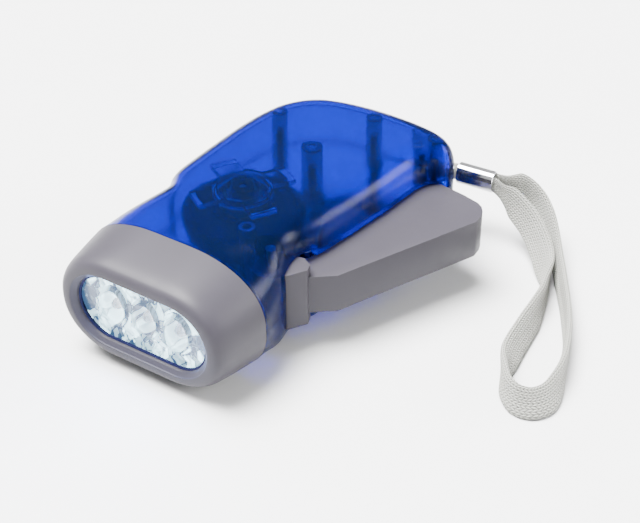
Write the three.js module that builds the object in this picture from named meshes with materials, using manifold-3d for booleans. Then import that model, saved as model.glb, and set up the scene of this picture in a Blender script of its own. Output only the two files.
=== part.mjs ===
// A hand-press dynamo torch: squeezing the side lever turns a geared flywheel generator that lights three
// LEDs. Millimetres. x points to the lever, y from the front opening to the tail, z up from the plane where
// the shells part.
import * as THREE from "three";
import { mergeVertices } from "three/addons/utils/BufferGeometryUtils.js";
import Module from "manifold-3d";

const wasm = await Module();
wasm.setup();

// Body
const bodyLength = 103.6;
const halfWidth = 28.5;
const halfThickness = 17.4;
const bezelLength = 15;
const wall = 2;
const gap = 0.3;
const seam = 0.2;
const overrun = 20;
const lipLength = 4;
const lipWall = 1.6;
const lipRoot = 2;

// Front opening and what lies behind it
const bezelTaperAcross = 2.3;
const bezelTaperUp = 2.6;
const bezelRimAcross = 5.65;
const bezelRimUp = 5.25;
const bezelFrontHalfWidth = halfWidth - bezelTaperAcross;
const bezelFrontHalfHeight = halfThickness - bezelTaperUp;
const openingRadius = bezelFrontHalfHeight - bezelRimUp;
const openingStraight = bezelFrontHalfWidth - bezelRimAcross - openingRadius;
const bezelShoulderDepth = 1.2;
const pocketDepth = 7;
const bezelCrest = 1.5;
const bezelWall = 2.2;
const lensSetback = 1;
const lensThickness = 1.2;
const lensRim = 1.4;
const ledPitch = 10.2;
const bubbleRadius = 4.3;
const bubbleHeight = 1;
const reflectorDepth = 8;
const cupMouthRadius = 4.8;
const cupBaseRadius = 2.75;
const ledRadius = 2.5;
const ledFlangeRadius = 2.9;
const ledFlangeThickness = 1;
const ledLength = 8.4;
const ledLegRadius = 0.3;
const ledLegSpacing = 2.54;
const ledLegLength = 3;
const boardThickness = 1.5;

// Lever
const pivotShares = [0.7052632, 0.277027];
const pivotPinRadius = 1.5;
const slotSweep = THREE.MathUtils.degToRad(82);
const leverHalfThickness = 5.7;
const hubCover = 0.5;
const hubRadius = 5.2;
const leverTailSetback = 9.3;
const leverRun = 0.4;
const leverWall = 2.2;
const slotClearance = 0.8;
const hubSlotLead = 1.4;
const hubSlotTrail = 13.6;
const pivotBossRadius = 4.2;
const pinInset = 3.2;

// Gears: the sector drives the first wheel, which drives the second and then the rotor
const pressureAngle = THREE.MathUtils.degToRad(20);
const sectorTeeth = 60;
const drivePinionTeeth = 10;
const wheelModule = 0.7;
const wheelTeeth = 28;
const wheelPinionTeeth = 14;
const backlashShare = 0.14;
const addendumShare = 0.85;
const dedendumShare = 1.2;
const trainClearance = 0.6;
const rotorShares = [-0.04844296, 0.45039179];
const secondAngle = THREE.MathUtils.degToRad(15);
const sectorFrom = THREE.MathUtils.degToRad(22);
const sectorTo = THREE.MathUtils.degToRad(60);
const sectorBand = 4;
const spokeFrom = THREE.MathUtils.degToRad(20);
const spokeTo = THREE.MathUtils.degToRad(36);
const keyPegRadius = 0.9;
const keyPegOffset = 3.4;
const ratchetTeeth = 12;
const ratchetRadius = 7.2;
const ratchetToothHeight = 1;
const ratchetDepth = 1;
const ratchetRampShare = 0.94;
const pawlThickness = 0.7;
const pawlHubRadius = 3.6;
const pawlReach = 6.8;
const pawlWidth = 1.1;
const pawlTurn = THREE.MathUtils.degToRad(97);
const pawlLinkTurn = THREE.MathUtils.degToRad(24);
const clutchHubRadius = 2.4;

// Generator
const shaftRadius = 1;
const runningClearance = 0.06;
const waistShare = 0.726;
const flywheelClearance = 0.6103757;
const flywheelHubClearance = 1.2;
const padCount = 4;
const padReach = 14.5;
const padWidth = 7.3;
const padThickness = 1.3;
const padAngle = THREE.MathUtils.degToRad(60);
const flywheelHubRadius = 6.4;
const magnetPlateClearance = 1.8;
const edgeChamfer = 0.5;
const yokeThickness = 0.5;
const yokeClaws = 6;
const clawHalfAngle = THREE.MathUtils.degToRad(11);
const coilClearance = 0.2;
const bobbinFlange = 0.7;
const upperYokeClearance = 0.5;
const stackBoreRadius = 2.4;
const bushRadius = 3;
const bushHeight = 2.8;
const bushWall = 1.3;
const bushLip = 0.2;
const ringRibRadius = 8.1;
const ringRibWall = 0.9;
const ringRibHeight = 2.4;
const plateClearance = 0.4;
const plateMargin = 0.6;
const plateEyeRadius = 7.5;
const seatGap = 0.1;
const leadRadius = 0.5;
const leadTurn = THREE.MathUtils.degToRad(9.6);

// Radii of the magnet and the stator as shares of the flywheel's radius
const magnetOuterShare = 0.9341317;
const magnetInnerShare = 0.7604790;
const yokeShare = 0.6946108;
const bobbinShare = 0.6167665;
const windingShare = 0.5628743;
const coilCoreShare = 0.2634731;

// Heights of the train's layers above the parting plane, as shares of the room's half height
const firstWheelShare = -0.7402597;
const sectorShare = -0.5324675;
const secondWheelShare = -0.3311688;
const plateShare = -0.1363636;
const statorShare = -0.0324675;
const flywheelShare = 0.3246753;
const flywheelHubShare = 0.5779221;

// Fasteners
const screwShankRadius = 1.1;
const smallPostRadius = 2.3;
const largePostRadius = 3;
const frontPostClearance = 0.291851;
const frontPostAngle = THREE.MathUtils.degToRad(-140.841727);
const middlePostClearance = 2.255922;
const middlePostAngle = THREE.MathUtils.degToRad(-32.512288);
const counterboreWall = 1.1;
const counterboreFloor = 1.6;
const socketRadius = 0.8;
const socketDepth = 0.7;
const screwHeadRadius = 2;
const screwHeadHeight = 1.4;
const screwSetback = 1.2;
const screwBite = 9;
const pilotClearance = 0.08;
const throughClearance = 0.25;
const plateScrewLength = 6;
const platePostRadius = 2.3;
const rearPlatePostClearance = 2.434056;
const rearPlatePostAngle = THREE.MathUtils.degToRad(-60.748860);

// Return spring
const springWire = 0.8;
const springMeanRadius = 3.4;
const springTurns = 2.5;
const springPitch = 1;
const springLeg = 7;
const springSides = 6;
const springStepsPerTurn = 10;

// Wrist strap
const strapPinRadius = 1;
const strapPinHalfLength = 8;
const strapLugRadius = 2.6;
const strapLugGap = 5.2;
const strapPinInset = 4.5;
const strapPinSetback = 5.8;
const strapThickness = 2;
const strapWidth = 7.6;
const ferruleLength = 11.3;
const ferruleHeight = 6.4;
const ferruleDepth = 5.2;
const ferruleWall = 0.4;
const ferrulePower = 0.6;
const crimpedWidth = 4.6;
const crimpedThickness = 1.5;
const crimpStart = 6.6;
const crimpEnd = 12;
const strandGap = 0.5;
const strapSteps = 60;
const strapSlotClearance = 0.6;
const strapSlotEase = 2.5;
const ferruleOutset = 3.5;
const ferruleTrail = 3.3;
const ferruleTurn = THREE.MathUtils.degToRad(4.5);

// Facets
const tinySides = 6;
const smallSides = 12;
const roundSides = 24;
const wheelSides = 36;
const domeSteps = 3;
const outlineSteps = 60;
const ringSteps = 40;
const leadSteps = 9;
const leadSides = 6;
const anchorSteps = 14;
const weldDistance = 1e-4;

// Places and sizes that follow from the ones above
const pivot = placeOf(pivotShares);
const rotor = placeOf(rotorShares);
const rotorAngle = Math.atan2(pivot.x - rotor.x, rotor.y - pivot.y);
const sectorModule = (pivot.distanceTo(rotor) * 2) / (sectorTeeth + drivePinionTeeth);
const sectorRadius = (sectorModule * sectorTeeth) / 2;
const wheelRadius = (wheelModule * wheelTeeth) / 2;
const wheelPinionRadius = (wheelModule * wheelPinionTeeth) / 2;
const second = leftOf(rotor, wheelRadius + wheelPinionRadius, secondAngle);
const leverReach = bodyLength - leverTailSetback - pivot.y;
const flywheelRadius = waistShare * halfWidth + rotor.x - wall - flywheelClearance;
const magnetOuterRadius = magnetOuterShare * flywheelRadius;
const magnetInnerRadius = magnetInnerShare * flywheelRadius;
const yokeRadius = yokeShare * flywheelRadius;
const bobbinRadius = bobbinShare * flywheelRadius;
const coilOuterRadius = windingShare * flywheelRadius;
const coilCoreRadius = coilCoreShare * flywheelRadius;
const cavityTop = halfThickness - wall;
const firstWheelLevel = firstWheelShare * cavityTop;
const sectorLevel = sectorShare * cavityTop;
const secondWheelLevel = secondWheelShare * cavityTop;
const plateLevel = plateShare * cavityTop;
const statorLevel = statorShare * cavityTop;
const flywheelLevel = flywheelShare * cavityTop;
const flywheelHubLevel = flywheelHubShare * cavityTop;
const hubHalfThickness = hubCover - sectorLevel;
const gearWidth = sectorLevel - firstWheelLevel - trainClearance;
const plateThickness = statorLevel - plateLevel - plateClearance;
const bobbinLow = statorLevel + yokeThickness + coilClearance;
const bobbinHigh = flywheelLevel - upperYokeClearance - yokeThickness - coilClearance;
const clawLength = bobbinHigh - bobbinLow + gap;
const magnetHeight = flywheelLevel - gap - plateLevel - plateThickness - magnetPlateClearance;
const flywheelThickness = flywheelHubLevel - flywheelLevel - gap;
const bushLow = cavityTop - bushHeight - bushLip;
const flywheelHubThickness = bushLow - flywheelHubLevel - flywheelHubClearance;
const lensFront = lensSetback + gap;
const reflectorFront = lensFront + lensThickness + gap;
const boardFront = reflectorFront + reflectorDepth + ledFlangeThickness + gap * 2;

// The point at a distance from a centre, turned from +y towards -x by an angle.
function leftOf(centre, distance, angle) {
  return new THREE.Vector2(centre.x - distance * Math.sin(angle), centre.y + distance * Math.cos(angle));
}

// Geometry to solid, and back.
function solid(geometry) {
  const bare = geometry.clone();
  bare.deleteAttribute("normal");
  bare.deleteAttribute("uv");
  const merged = mergeVertices(bare, weldDistance);
  const corners = Array.from(merged.index.array);
  const faces = [];
  for (let i = 0; i < corners.length; i += 3) {
    const [a, b, c] = corners.slice(i, i + 3);
    if (a !== b && b !== c && c !== a) faces.push(a, b, c);
  }
  return new wasm.Manifold(
    new wasm.Mesh({
      numProp: 3,
      vertProperties: merged.attributes.position.array,
      triVerts: new Uint32Array(faces),
    }),
  );
}

function geometryOf(shape) {
  const { vertProperties, triVerts } = shape.getMesh();
  const geometry = new THREE.BufferGeometry();
  geometry.setAttribute("position", new THREE.BufferAttribute(new Float32Array(vertProperties), 3));
  geometry.setIndex(new THREE.BufferAttribute(new Uint32Array(triVerts), 1));
  geometry.computeVertexNormals();
  return geometry;
}

function join(...pieces) {
  return pieces.reduce((whole, piece) => whole.add(piece));
}

function cut(body, ...tools) {
  return tools.reduce((rest, tool) => rest.subtract(tool), body);
}

// Basic pieces, all standing along z between two heights.
function rod(radius, low, high, at = new THREE.Vector2(), sides = smallSides) {
  const geometry = new THREE.CylinderGeometry(radius, radius, high - low, sides);
  return solid(geometry.rotateX(Math.PI / 2).translate(at.x, at.y, (low + high) / 2));
}

function tube(outer, inner, low, high, at = new THREE.Vector2(), sides = smallSides) {
  return cut(rod(outer, low, high, at, sides), rod(inner, low - overrun, high + overrun, at, sides));
}

function slab(points, low, high) {
  const shape = new THREE.Shape(points);
  const geometry = new THREE.ExtrudeGeometry(shape, { depth: high - low, bevelEnabled: false });
  return solid(geometry.translate(0, 0, low));
}

function block(x0, x1, y0, y1, z0, z1) {
  const geometry = new THREE.BoxGeometry(x1 - x0, y1 - y0, z1 - z0);
  return solid(geometry.translate((x0 + x1) / 2, (y0 + y1) / 2, (z0 + z1) / 2));
}

function turned(profile, at = new THREE.Vector2(), sides = roundSides) {
  const points = profile.map(([radius, height]) => new THREE.Vector2(radius, height));
  const geometry = new THREE.LatheGeometry(points, sides);
  return solid(geometry.rotateX(Math.PI / 2).translate(at.x, at.y, 0));
}

function arc(centre, radius, from, to, steps) {
  const turn = (i) => from + ((to - from) * i) / steps;
  return Array.from({ length: steps + 1 }, (_, i) => leftOf(centre, radius, turn(i)));
}

// The convex outline round a set of discs, counter-clockwise.
function outlineRound(discs) {
  const points = discs.flatMap(({ at, radius }) => arc(at, radius, 0, 2 * Math.PI, roundSides).slice(1));
  points.sort((a, b) => a.x - b.x || a.y - b.y);
  const chain = (list) => {
    const kept = [];
    for (const p of list) {
      while (kept.length > 1 && turnOf(kept.at(-2), kept.at(-1), p) <= 0) kept.pop();
      kept.push(p);
    }
    return kept.slice(0, -1);
  };
  return [...chain(points), ...chain(points.reverse())];
}

function turnOf(a, b, c) {
  return (b.x - a.x) * (c.y - a.y) - (b.y - a.y) * (c.x - a.x);
}

// The triangles that fill a flat ring of points, facing the side from which it runs counter-clockwise.
function trianglesOf(ring) {
  const normal = new THREE.Vector3();
  ring.forEach((p, i) => {
    const q = ring[(i + 1) % ring.length];
    normal.x += (p.y - q.y) * (p.z + q.z);
    normal.y += (p.z - q.z) * (p.x + q.x);
    normal.z += (p.x - q.x) * (p.y + q.y);
  });
  normal.normalize();
  const across = ring[1].clone().sub(ring[0]).normalize();
  const up = normal.clone().cross(across);
  return THREE.ShapeUtils.triangulateShape(ring.map((p) => new THREE.Vector2(p.dot(across), p.dot(up))), []);
}

// A closed surface through rings of equal length; open stacks get flat ends, looped ones join last to first.
function loft(rings, looped = false) {
  const count = rings[0].length;
  const positions = rings.flat().flatMap((p) => [p.x, p.y, p.z]);
  const index = [];
  const pairs = looped ? rings.length : rings.length - 1;
  for (let r = 0; r < pairs; r++) {
    const next = (r + 1) % rings.length;
    for (let i = 0; i < count; i++) {
      const j = (i + 1) % count;
      const [a, b, c, d] = [r * count + i, r * count + j, next * count + j, next * count + i];
      index.push(a, b, c, a, c, d);
    }
  }
  if (!looped) {
    const last = (rings.length - 1) * count;
    for (const [a, b, c] of trianglesOf(rings[0])) index.push(a, c, b);
    for (const [a, b, c] of trianglesOf(rings.at(-1))) index.push(last + a, last + b, last + c);
  }
  const geometry = new THREE.BufferGeometry();
  geometry.setAttribute("position", new THREE.Float32BufferAttribute(positions, 3));
  geometry.setIndex(index);
  return solid(geometry);
}

// Body outline, counter-clockwise from the lever side of the head. Each row holds the place as shares of the
// half width and of the length, then how far its rounded edge runs inwards, as a share of the edge's reach,
// and downwards, as a share of the half thickness.
const outlineShares = [
  [0.6, -0.21, 0.6, 0.9],
  [0.93, -0.08, 1.2, 0.97],
  [1.003, 0.06, 1.38, 0.97],
  [1.0, 0.145, 1.38, 0.97],
  [0.986, 0.193, 1.1, 0.97],
  [0.947, 0.237, 0.76, 0.82],
  [0.884, 0.28, 0.55, 0.66],
  [0.839, 0.319, 0.47, 0.59],
  [0.839, 0.352, 0.46, 0.58],
  [0.877, 0.386, 0.46, 0.58],
  [0.916, 0.425, 0.46, 0.58],
  [0.961, 0.502, 0.46, 0.58],
  [1.014, 0.604, 0.46, 0.58],
  [1.053, 0.685, 0.46, 0.58],
  [1.077, 0.763, 0.46, 0.58],
  [1.098, 0.811, 0.44, 0.57],
  [1.144, 0.845, 0.4, 0.55],
  [1.221, 0.869, 0.35, 0.52],
  [1.277, 0.898, 0.34, 0.52],
  [1.27, 0.923, 0.34, 0.52],
  [1.2, 0.946, 0.36, 0.53],
  [1.088, 0.964, 0.4, 0.56],
  [0.912, 0.981, 0.45, 0.58],
  [0.702, 0.992, 0.46, 0.58],
  [0.456, 0.999, 0.46, 0.58],
  [0.21, 0.999, 0.46, 0.58],
  [-0.035, 0.99, 0.46, 0.58],
  [-0.246, 0.974, 0.46, 0.58],
  [-0.439, 0.948, 0.46, 0.58],
  [-0.596, 0.907, 0.46, 0.58],
  [-0.709, 0.854, 0.46, 0.58],
  [-0.772, 0.792, 0.46, 0.58],
  [-0.807, 0.724, 0.46, 0.58],
  [-0.821, 0.656, 0.46, 0.58],
  [-0.825, 0.56, 0.46, 0.58],
  [-0.825, 0.483, 0.46, 0.58],
  [-0.818, 0.43, 0.46, 0.58],
  [-0.793, 0.401, 0.46, 0.58],
  [-0.744, 0.376, 0.46, 0.58],
  [-0.726, 0.355, 0.47, 0.59],
  [-0.747, 0.323, 0.52, 0.62],
  [-0.804, 0.285, 0.63, 0.72],
  [-0.891, 0.237, 0.86, 0.86],
  [-0.965, 0.188, 1.15, 0.97],
  [-1.0, 0.145, 1.38, 0.97],
  [-1.003, 0.06, 1.38, 0.97],
  [-0.93, -0.08, 1.2, 0.97],
  [-0.6, -0.21, 0.6, 0.9],
  [0, -0.24, 0.5, 0.9],
];
const spineShares = [
  [0, 0.06],
  [0.21, 0.81],
];
const edgeExponent = 2.3;
const edgeReachShare = 0.6105263;
const edgeReach = edgeReachShare * halfWidth;
const headEdgeShare = 1.38;
const headDropShare = 0.97;
const frontStraight = 9;
const frontPower = 0.92;
const bezelFlare = 0.8;
const edgeAngles = [0, 20, 40, 64, 90].map(THREE.MathUtils.degToRad);

const spine = new THREE.Line3(
  ...spineShares.map(([x, y]) => new THREE.Vector3(x * halfWidth, y * bodyLength, 0)),
);

// The outline as a smooth closed curve: each point with its edge's reach inwards and downwards.
function outlinePoints() {
  const curveOf = (pick) => new THREE.CatmullRomCurve3(outlineShares.map(pick), true, "centripetal");
  const place = curveOf(([x, y]) => new THREE.Vector3(x * halfWidth, y * bodyLength, 0));
  const edgeOf = (inwards, down) => new THREE.Vector3(inwards * edgeReach, down * halfThickness, 0);
  const edge = curveOf(([, , inwards, down]) => edgeOf(inwards, down));
  return Array.from({ length: outlineSteps }, (_, i) => {
    const t = place.getUtoTmapping(i / outlineSteps);
    return { at: place.getPoint(t), edge: edge.getPoint(t) };
  });
}

// The body as a rounded slab, drawn in by an inset on every side.
function roundedBody(inset) {
  const points = outlinePoints();
  const ring = (angle, side) =>
    points.map(({ at, edge }) => {
      const towards = spine.closestPointToPoint(at, true, new THREE.Vector3()).sub(at).normalize();
      const reach = edge.x - inset;
      const drop = edge.y - inset;
      const inwards = inset + reach * (1 - Math.cos(angle) ** (2 / edgeExponent));
      const height = halfThickness - edge.y + drop * Math.sin(angle) ** (2 / edgeExponent);
      return at.clone().addScaledVector(towards, inwards).setZ(side * height);
    });
  const upper = edgeAngles.map((angle) => ring(angle, 1));
  const lower = edgeAngles.map((angle) => ring(angle, -1)).reverse();
  return loft([...lower, ...upper]);
}

// A section across y, as straight half lengths with rounded ends; between two sections lies a share of each.
const openingSection = {
  straightX: openingStraight,
  straightZ: 0,
  roundX: openingRadius,
  roundZ: openingRadius,
  power: 1,
};
const bodySection = {
  straightX: halfWidth - headEdgeShare * edgeReach,
  straightZ: (1 - headDropShare) * halfThickness,
  roundX: headEdgeShare * edgeReach,
  roundZ: headDropShare * halfThickness,
  power: 2 / edgeExponent,
};
const frontSection = {
  straightX: frontStraight,
  straightZ: 0,
  roundX: bezelFrontHalfWidth - frontStraight,
  roundZ: bezelFrontHalfHeight,
  power: frontPower,
};

function between(a, b, share) {
  return Object.fromEntries(Object.keys(a).map((key) => [key, THREE.MathUtils.lerp(a[key], b[key], share)]));
}

function drawnIn(section, by) {
  return { ...section, roundX: section.roundX - by, roundZ: section.roundZ - by };
}

function sectionRing(section, y) {
  const along = (value, straight, round) =>
    Math.sign(value) * (straight + round * Math.abs(value) ** section.power);
  return Array.from({ length: ringSteps }, (_, i) => {
    const angle = (2 * Math.PI * (i + 0.5)) / ringSteps;
    const x = along(Math.cos(angle), section.straightX, section.roundX);
    const z = along(Math.sin(angle), section.straightZ, section.roundZ);
    return new THREE.Vector3(x, y, z);
  });
}

// The bezel's outer section at a distance from the opening, widening to the body's.
function bezelSection(y) {
  const share = THREE.MathUtils.clamp((y - bezelShoulderDepth) / (bezelLength - bezelShoulderDepth), 0, 1);
  return between(frontSection, bodySection, share ** bezelFlare);
}

// A slab across y with a stadium section.
function stadium(radius, y0, y1) {
  const shape = new THREE.Shape();
  shape.absarc(openingStraight, 0, radius, -Math.PI / 2, Math.PI / 2);
  shape.absarc(-openingStraight, 0, radius, Math.PI / 2, (3 * Math.PI) / 2);
  const settings = { depth: y1 - y0, bevelEnabled: false, curveSegments: smallSides };
  const geometry = new THREE.ExtrudeGeometry(shape, settings);
  return solid(geometry.rotateX(Math.PI / 2).translate(0, y1, 0));
}

// The same turned piece about an axis along y, at a place across the head.
function turnedAcross(profile, x, sides = roundSides) {
  const points = profile.map(([radius, y]) => new THREE.Vector2(radius, y));
  return solid(new THREE.LatheGeometry(points, sides).translate(x, 0, 0));
}

const ledPlaces = [-ledPitch, 0, ledPitch];

// Rings of the bezel's lip outside and inside its crest: how far in from the edge, as a share of half the
// rim's width, and how far forwards, as a share of the crest's height.
const outerLipShares = [
  [0.3, 0.25],
  [0.75, 0.85],
];
const innerLipShares = [
  [0.45, 0.75],
  [0.1, 0.2],
  [0, -0.2],
];
const outerRingShares = [0.6, 0.25];
const crestShare = 0.6;

// Bezel, looped from its rear edge over the front crest and back through the opening and the lens pocket.
function bezel() {
  const rear = bezelLength - seam;
  const rim = (frontSection.roundZ - openingSection.roundZ) / 2;
  const crest = between(openingSection, drawnIn(frontSection, rim), crestShare);
  const outer = [rear, ...outerRingShares.map((share) => share * bezelLength), bezelShoulderDepth];
  const pocketSection = drawnIn(openingSection, -lensRim);
  return loft(
    [
      ...outer.map((y) => sectionRing(bezelSection(y), y)),
      ...outerLipShares.map(([inwards, forwards]) =>
        sectionRing(drawnIn(frontSection, rim * inwards), -bezelCrest * forwards),
      ),
      sectionRing(crest, -bezelCrest),
      ...innerLipShares.map(([outwards, forwards]) =>
        sectionRing(drawnIn(openingSection, -rim * outwards), -bezelCrest * forwards),
      ),
      sectionRing(openingSection, lensSetback),
      sectionRing(pocketSection, lensSetback),
      sectionRing(pocketSection, pocketDepth),
      sectionRing(drawnIn(bezelSection(pocketDepth), bezelWall), pocketDepth),
      sectionRing(drawnIn(bodySection, bezelWall), rear),
    ],
    true,
  );
}

function frontLens() {
  const plate = stadium(openingRadius + lensRim - gap, lensFront, lensFront + lensThickness);
  const curve = (bubbleRadius ** 2 + bubbleHeight ** 2) / (2 * bubbleHeight);
  const dome = Array.from({ length: domeSteps + 1 }, (_, i) => {
    const radius = (bubbleRadius * i) / domeSteps;
    return [radius, lensFront - Math.sqrt(curve ** 2 - radius ** 2) + curve - bubbleHeight];
  });
  const seat = lensFront + lensThickness / 2;
  const bubble = (x) => turnedAcross([...dome, [bubbleRadius, seat], [0, seat]], x);
  return join(plate, ...ledPlaces.map(bubble));
}

// A cup's wall between its mouth and its base: share of the depth, and of the mouth's radius.
const cupShares = [
  [0, 1],
  [0.3, 0.9],
  [0.75, 0.71],
];

function reflector() {
  const rear = reflectorFront + reflectorDepth;
  const body = stadium(openingRadius + lensRim - gap, reflectorFront, rear);
  const profile = [
    [0, reflectorFront - overrun],
    [cupMouthRadius, reflectorFront - overrun],
    ...cupShares.map(([depth, radius]) => [radius * cupMouthRadius, reflectorFront + depth * reflectorDepth]),
    [cupBaseRadius, rear],
    [cupBaseRadius, rear + overrun],
    [0, rear + overrun],
  ];
  return cut(body, ...ledPlaces.map((x) => turnedAcross(profile, x, smallSides)));
}

const legPlaces = [-ledLegSpacing / 2, ledLegSpacing / 2];

function rodAcross(radius, x, y0, y1, sides = smallSides) {
  const geometry = new THREE.CylinderGeometry(radius, radius, y1 - y0, sides);
  return solid(geometry.translate(x, (y0 + y1) / 2, 0));
}

function led(x) {
  const flangeFront = reflectorFront + reflectorDepth + gap;
  const flangeRear = flangeFront + ledFlangeThickness;
  const shoulder = flangeFront - ledLength + ledRadius;
  const dome = Array.from({ length: domeSteps + 1 }, (_, i) => {
    const angle = (Math.PI / 2) * (1 - i / domeSteps);
    return [ledRadius * Math.cos(angle), shoulder - ledRadius * Math.sin(angle)];
  });
  const flange = [
    [ledRadius, flangeFront],
    [ledFlangeRadius, flangeFront],
    [ledFlangeRadius, flangeRear],
    [0, flangeRear],
  ];
  const legTop = (flangeFront + flangeRear) / 2;
  const leg = (dx) => rodAcross(ledLegRadius, x + dx, legTop, flangeRear + ledLegLength, tinySides);
  return join(turnedAcross([...dome, ...flange], x, smallSides), ...legPlaces.map(leg));
}

function ledBoard() {
  const board = stadium(openingRadius + lensRim - gap, boardFront, boardFront + boardThickness);
  const hole = (x) =>
    rodAcross(ledLegRadius + seatGap, x, boardFront - overrun, boardFront + overrun, tinySides);
  return cut(board, ...ledPlaces.flatMap((x) => legPlaces.map((dx) => hole(x + dx))));
}

// A lead from the coil's edge under the magnet to the board, on one side of the middle. Each step holds how
// far along and how far across it has come, as shares, and its height in lead diameters.
const leadShares = [
  [0, 0, 0.1],
  [0.28, 0.16, -0.4],
  [0.62, 0.65, -1],
  [0.86, 1, 0],
  [1, 1, 0],
];

function lead(side) {
  const coil = leftOf(rotor, yokeRadius + leadRadius, Math.PI - side * leadTurn);
  const board = new THREE.Vector2((side * -ledPitch) / 2, boardFront + boardThickness + gap);
  const points = leadShares.map(([along, across, height]) => {
    const x = THREE.MathUtils.lerp(coil.x, board.x, across);
    const y = THREE.MathUtils.lerp(coil.y, board.y, along);
    return new THREE.Vector3(x, y, height * leadRadius * 2);
  });
  const path = new THREE.CatmullRomCurve3(points);
  const section = new THREE.Shape();
  section.absarc(0, 0, leadRadius, 0, 2 * Math.PI);
  const settings = {
    steps: leadSteps,
    extrudePath: path,
    curveSegments: leadSides / 2,
    bevelEnabled: false,
  };
  return solid(new THREE.ExtrudeGeometry(section, settings));
}

// Shells: a hollow body parted at the middle, with the slot that the lever swings through.
const inside = roundedBody(wall / 2);
const outside = roundedBody(0);
const hollow = cut(outside, roundedBody(wall));

function rightOf(centre, distance, angle) {
  return leftOf(centre, distance, -angle);
}

function leverSlot() {
  const half = leverHalfThickness + slotClearance;
  const sweep = arc(pivot, leverReach + leverRun, -slotSweep, 0, roundSides);
  const armSlot = slab([pivot, ...sweep], -half, half);
  const hubHalf = hubHalfThickness + gap;
  const [front, rear] = [pivot.y - hubSlotLead, pivot.y + hubSlotTrail];
  const hubSlot = block(pivot.x, pivot.x + overrun, front, rear, -hubHalf, hubHalf);
  return join(armSlot, hubSlot, rod(hubRadius + gap, -hubHalf, hubHalf, pivot, roundSides));
}

function shellLip() {
  const lipOuter = drawnIn(bodySection, bezelWall + gap);
  const lipInner = drawnIn(bodySection, bezelWall + gap + lipWall);
  const tip = bezelLength - lipLength;
  const tipSection = bezelSection(tip);
  const rear = bezelLength + lipRoot;
  const lip = loft(
    [
      sectionRing(lipOuter, rear),
      sectionRing(lipOuter, bezelLength),
      sectionRing(drawnIn(tipSection, bezelWall + gap), tip),
      sectionRing(drawnIn(tipSection, bezelWall + gap + lipWall), tip),
      sectionRing(lipInner, bezelLength),
      sectionRing(lipInner, rear),
    ],
    true,
  );
  const root = drawnIn(bodySection, wall / 2);
  const web = loft(
    [
      sectionRing(root, rear),
      sectionRing(root, bezelLength),
      sectionRing(lipInner, bezelLength),
      sectionRing(lipInner, rear),
    ],
    true,
  );
  return join(lip, web);
}

// A place from its shares of the half width and of the length.
function placeOf([x, y]) {
  return new THREE.Vector2(x * halfWidth, y * bodyLength);
}

const frontPost = leftOf(rotor, flywheelRadius + smallPostRadius + frontPostClearance, frontPostAngle);
const middlePost = leftOf(second, wheelRadius + largePostRadius + middlePostClearance, middlePostAngle);
const caseScrews = [
  { at: frontPost, radius: smallPostRadius },
  { at: middlePost, radius: largePostRadius },
  { at: placeOf([0.316, 0.933]), radius: smallPostRadius },
  { at: placeOf([1.035, 0.931]), radius: smallPostRadius },
  { at: placeOf([-0.558, 0.818]), radius: smallPostRadius },
];
const strapPin = new THREE.Vector2(halfWidth - strapPinInset, bodyLength - strapPinSetback);
const screwSeat = -halfThickness + screwSetback + screwHeadHeight;
const shaftLow = -cavityTop + gap;

function shellHalf(side) {
  const [low, high] = side > 0 ? [seam / 2, halfThickness + overrun] : [-halfThickness - overrun, -seam / 2];
  const space = overrun * 3;
  const keep = block(-space, space, bezelLength, bodyLength + space, low, high);
  return cut(hollow.intersect(keep), leverSlot());
}

// A post from the parting plane to the wall, kept within the shell's outer surface.
function standing(shape) {
  return shape.intersect(inside);
}

// A flat pad under the top wall, running out from the round rib.
function pad(angle) {
  const inner = ringRibRadius - ringRibWall / 2;
  const innerTurn = Math.asin(padWidth / 2 / inner);
  const outerTurn = Math.asin(padWidth / 2 / padReach);
  const corners = [
    leftOf(rotor, inner, angle + innerTurn),
    leftOf(rotor, inner, angle - innerTurn),
    leftOf(rotor, padReach, angle - outerTurn),
    leftOf(rotor, padReach, angle + outerTurn),
  ];
  return slab(corners, cavityTop - padThickness, halfThickness);
}

function topShell() {
  const lipHalf = shellLip().intersect(block(-halfWidth, halfWidth, 0, bodyLength, seam / 2, overrun));
  const posts = caseScrews.map(({ at, radius }) => standing(rod(radius, seam / 2, halfThickness, at)));
  const bushBoss = rod(bushRadius + bushWall, bushLow, halfThickness, rotor);
  const ribInner = ringRibRadius - ringRibWall;
  const ring = tube(ringRibRadius, ribInner, cavityTop - ringRibHeight, halfThickness, rotor, roundSides);
  const pads = Array.from({ length: padCount }, (_, i) => pad(padAngle + (2 * Math.PI * i) / padCount));
  const pivotBoss = rod(pivotBossRadius, hubHalfThickness + gap, halfThickness, pivot);
  const lug = rod(strapLugRadius, strapLugGap, halfThickness, strapPin);
  const bosses = [bushBoss, ring, ...pads, pivotBoss, lug].map(standing);
  const whole = join(shellHalf(1), lipHalf, ...posts, ...bosses);
  const pilot = ({ at }) => rod(screwShankRadius + pilotClearance, -overrun, cavityTop - seam, at);
  return cut(
    whole,
    ...caseScrews.map(pilot),
    rod(bushRadius + runningClearance, -overrun, cavityTop, rotor),
    rod(pivotPinRadius + runningClearance, -overrun, halfThickness - pinInset + gap, pivot),
    rod(strapPinRadius + runningClearance, -overrun, strapPinHalfLength + gap, strapPin),
    strapSlot(),
  );
}

function strapSlot() {
  const halfX = crimpedThickness + strandGap + strapSlotClearance;
  const halfZ = crimpedWidth / 2 + strapSlotClearance;
  const right = strapPin.x + halfX + strapSlotEase;
  const front = strapPin.y + strapLugRadius - strapSlotClearance;
  return block(strapPin.x - halfX, right, front, bodyLength + overrun, -halfZ, halfZ);
}

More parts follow.
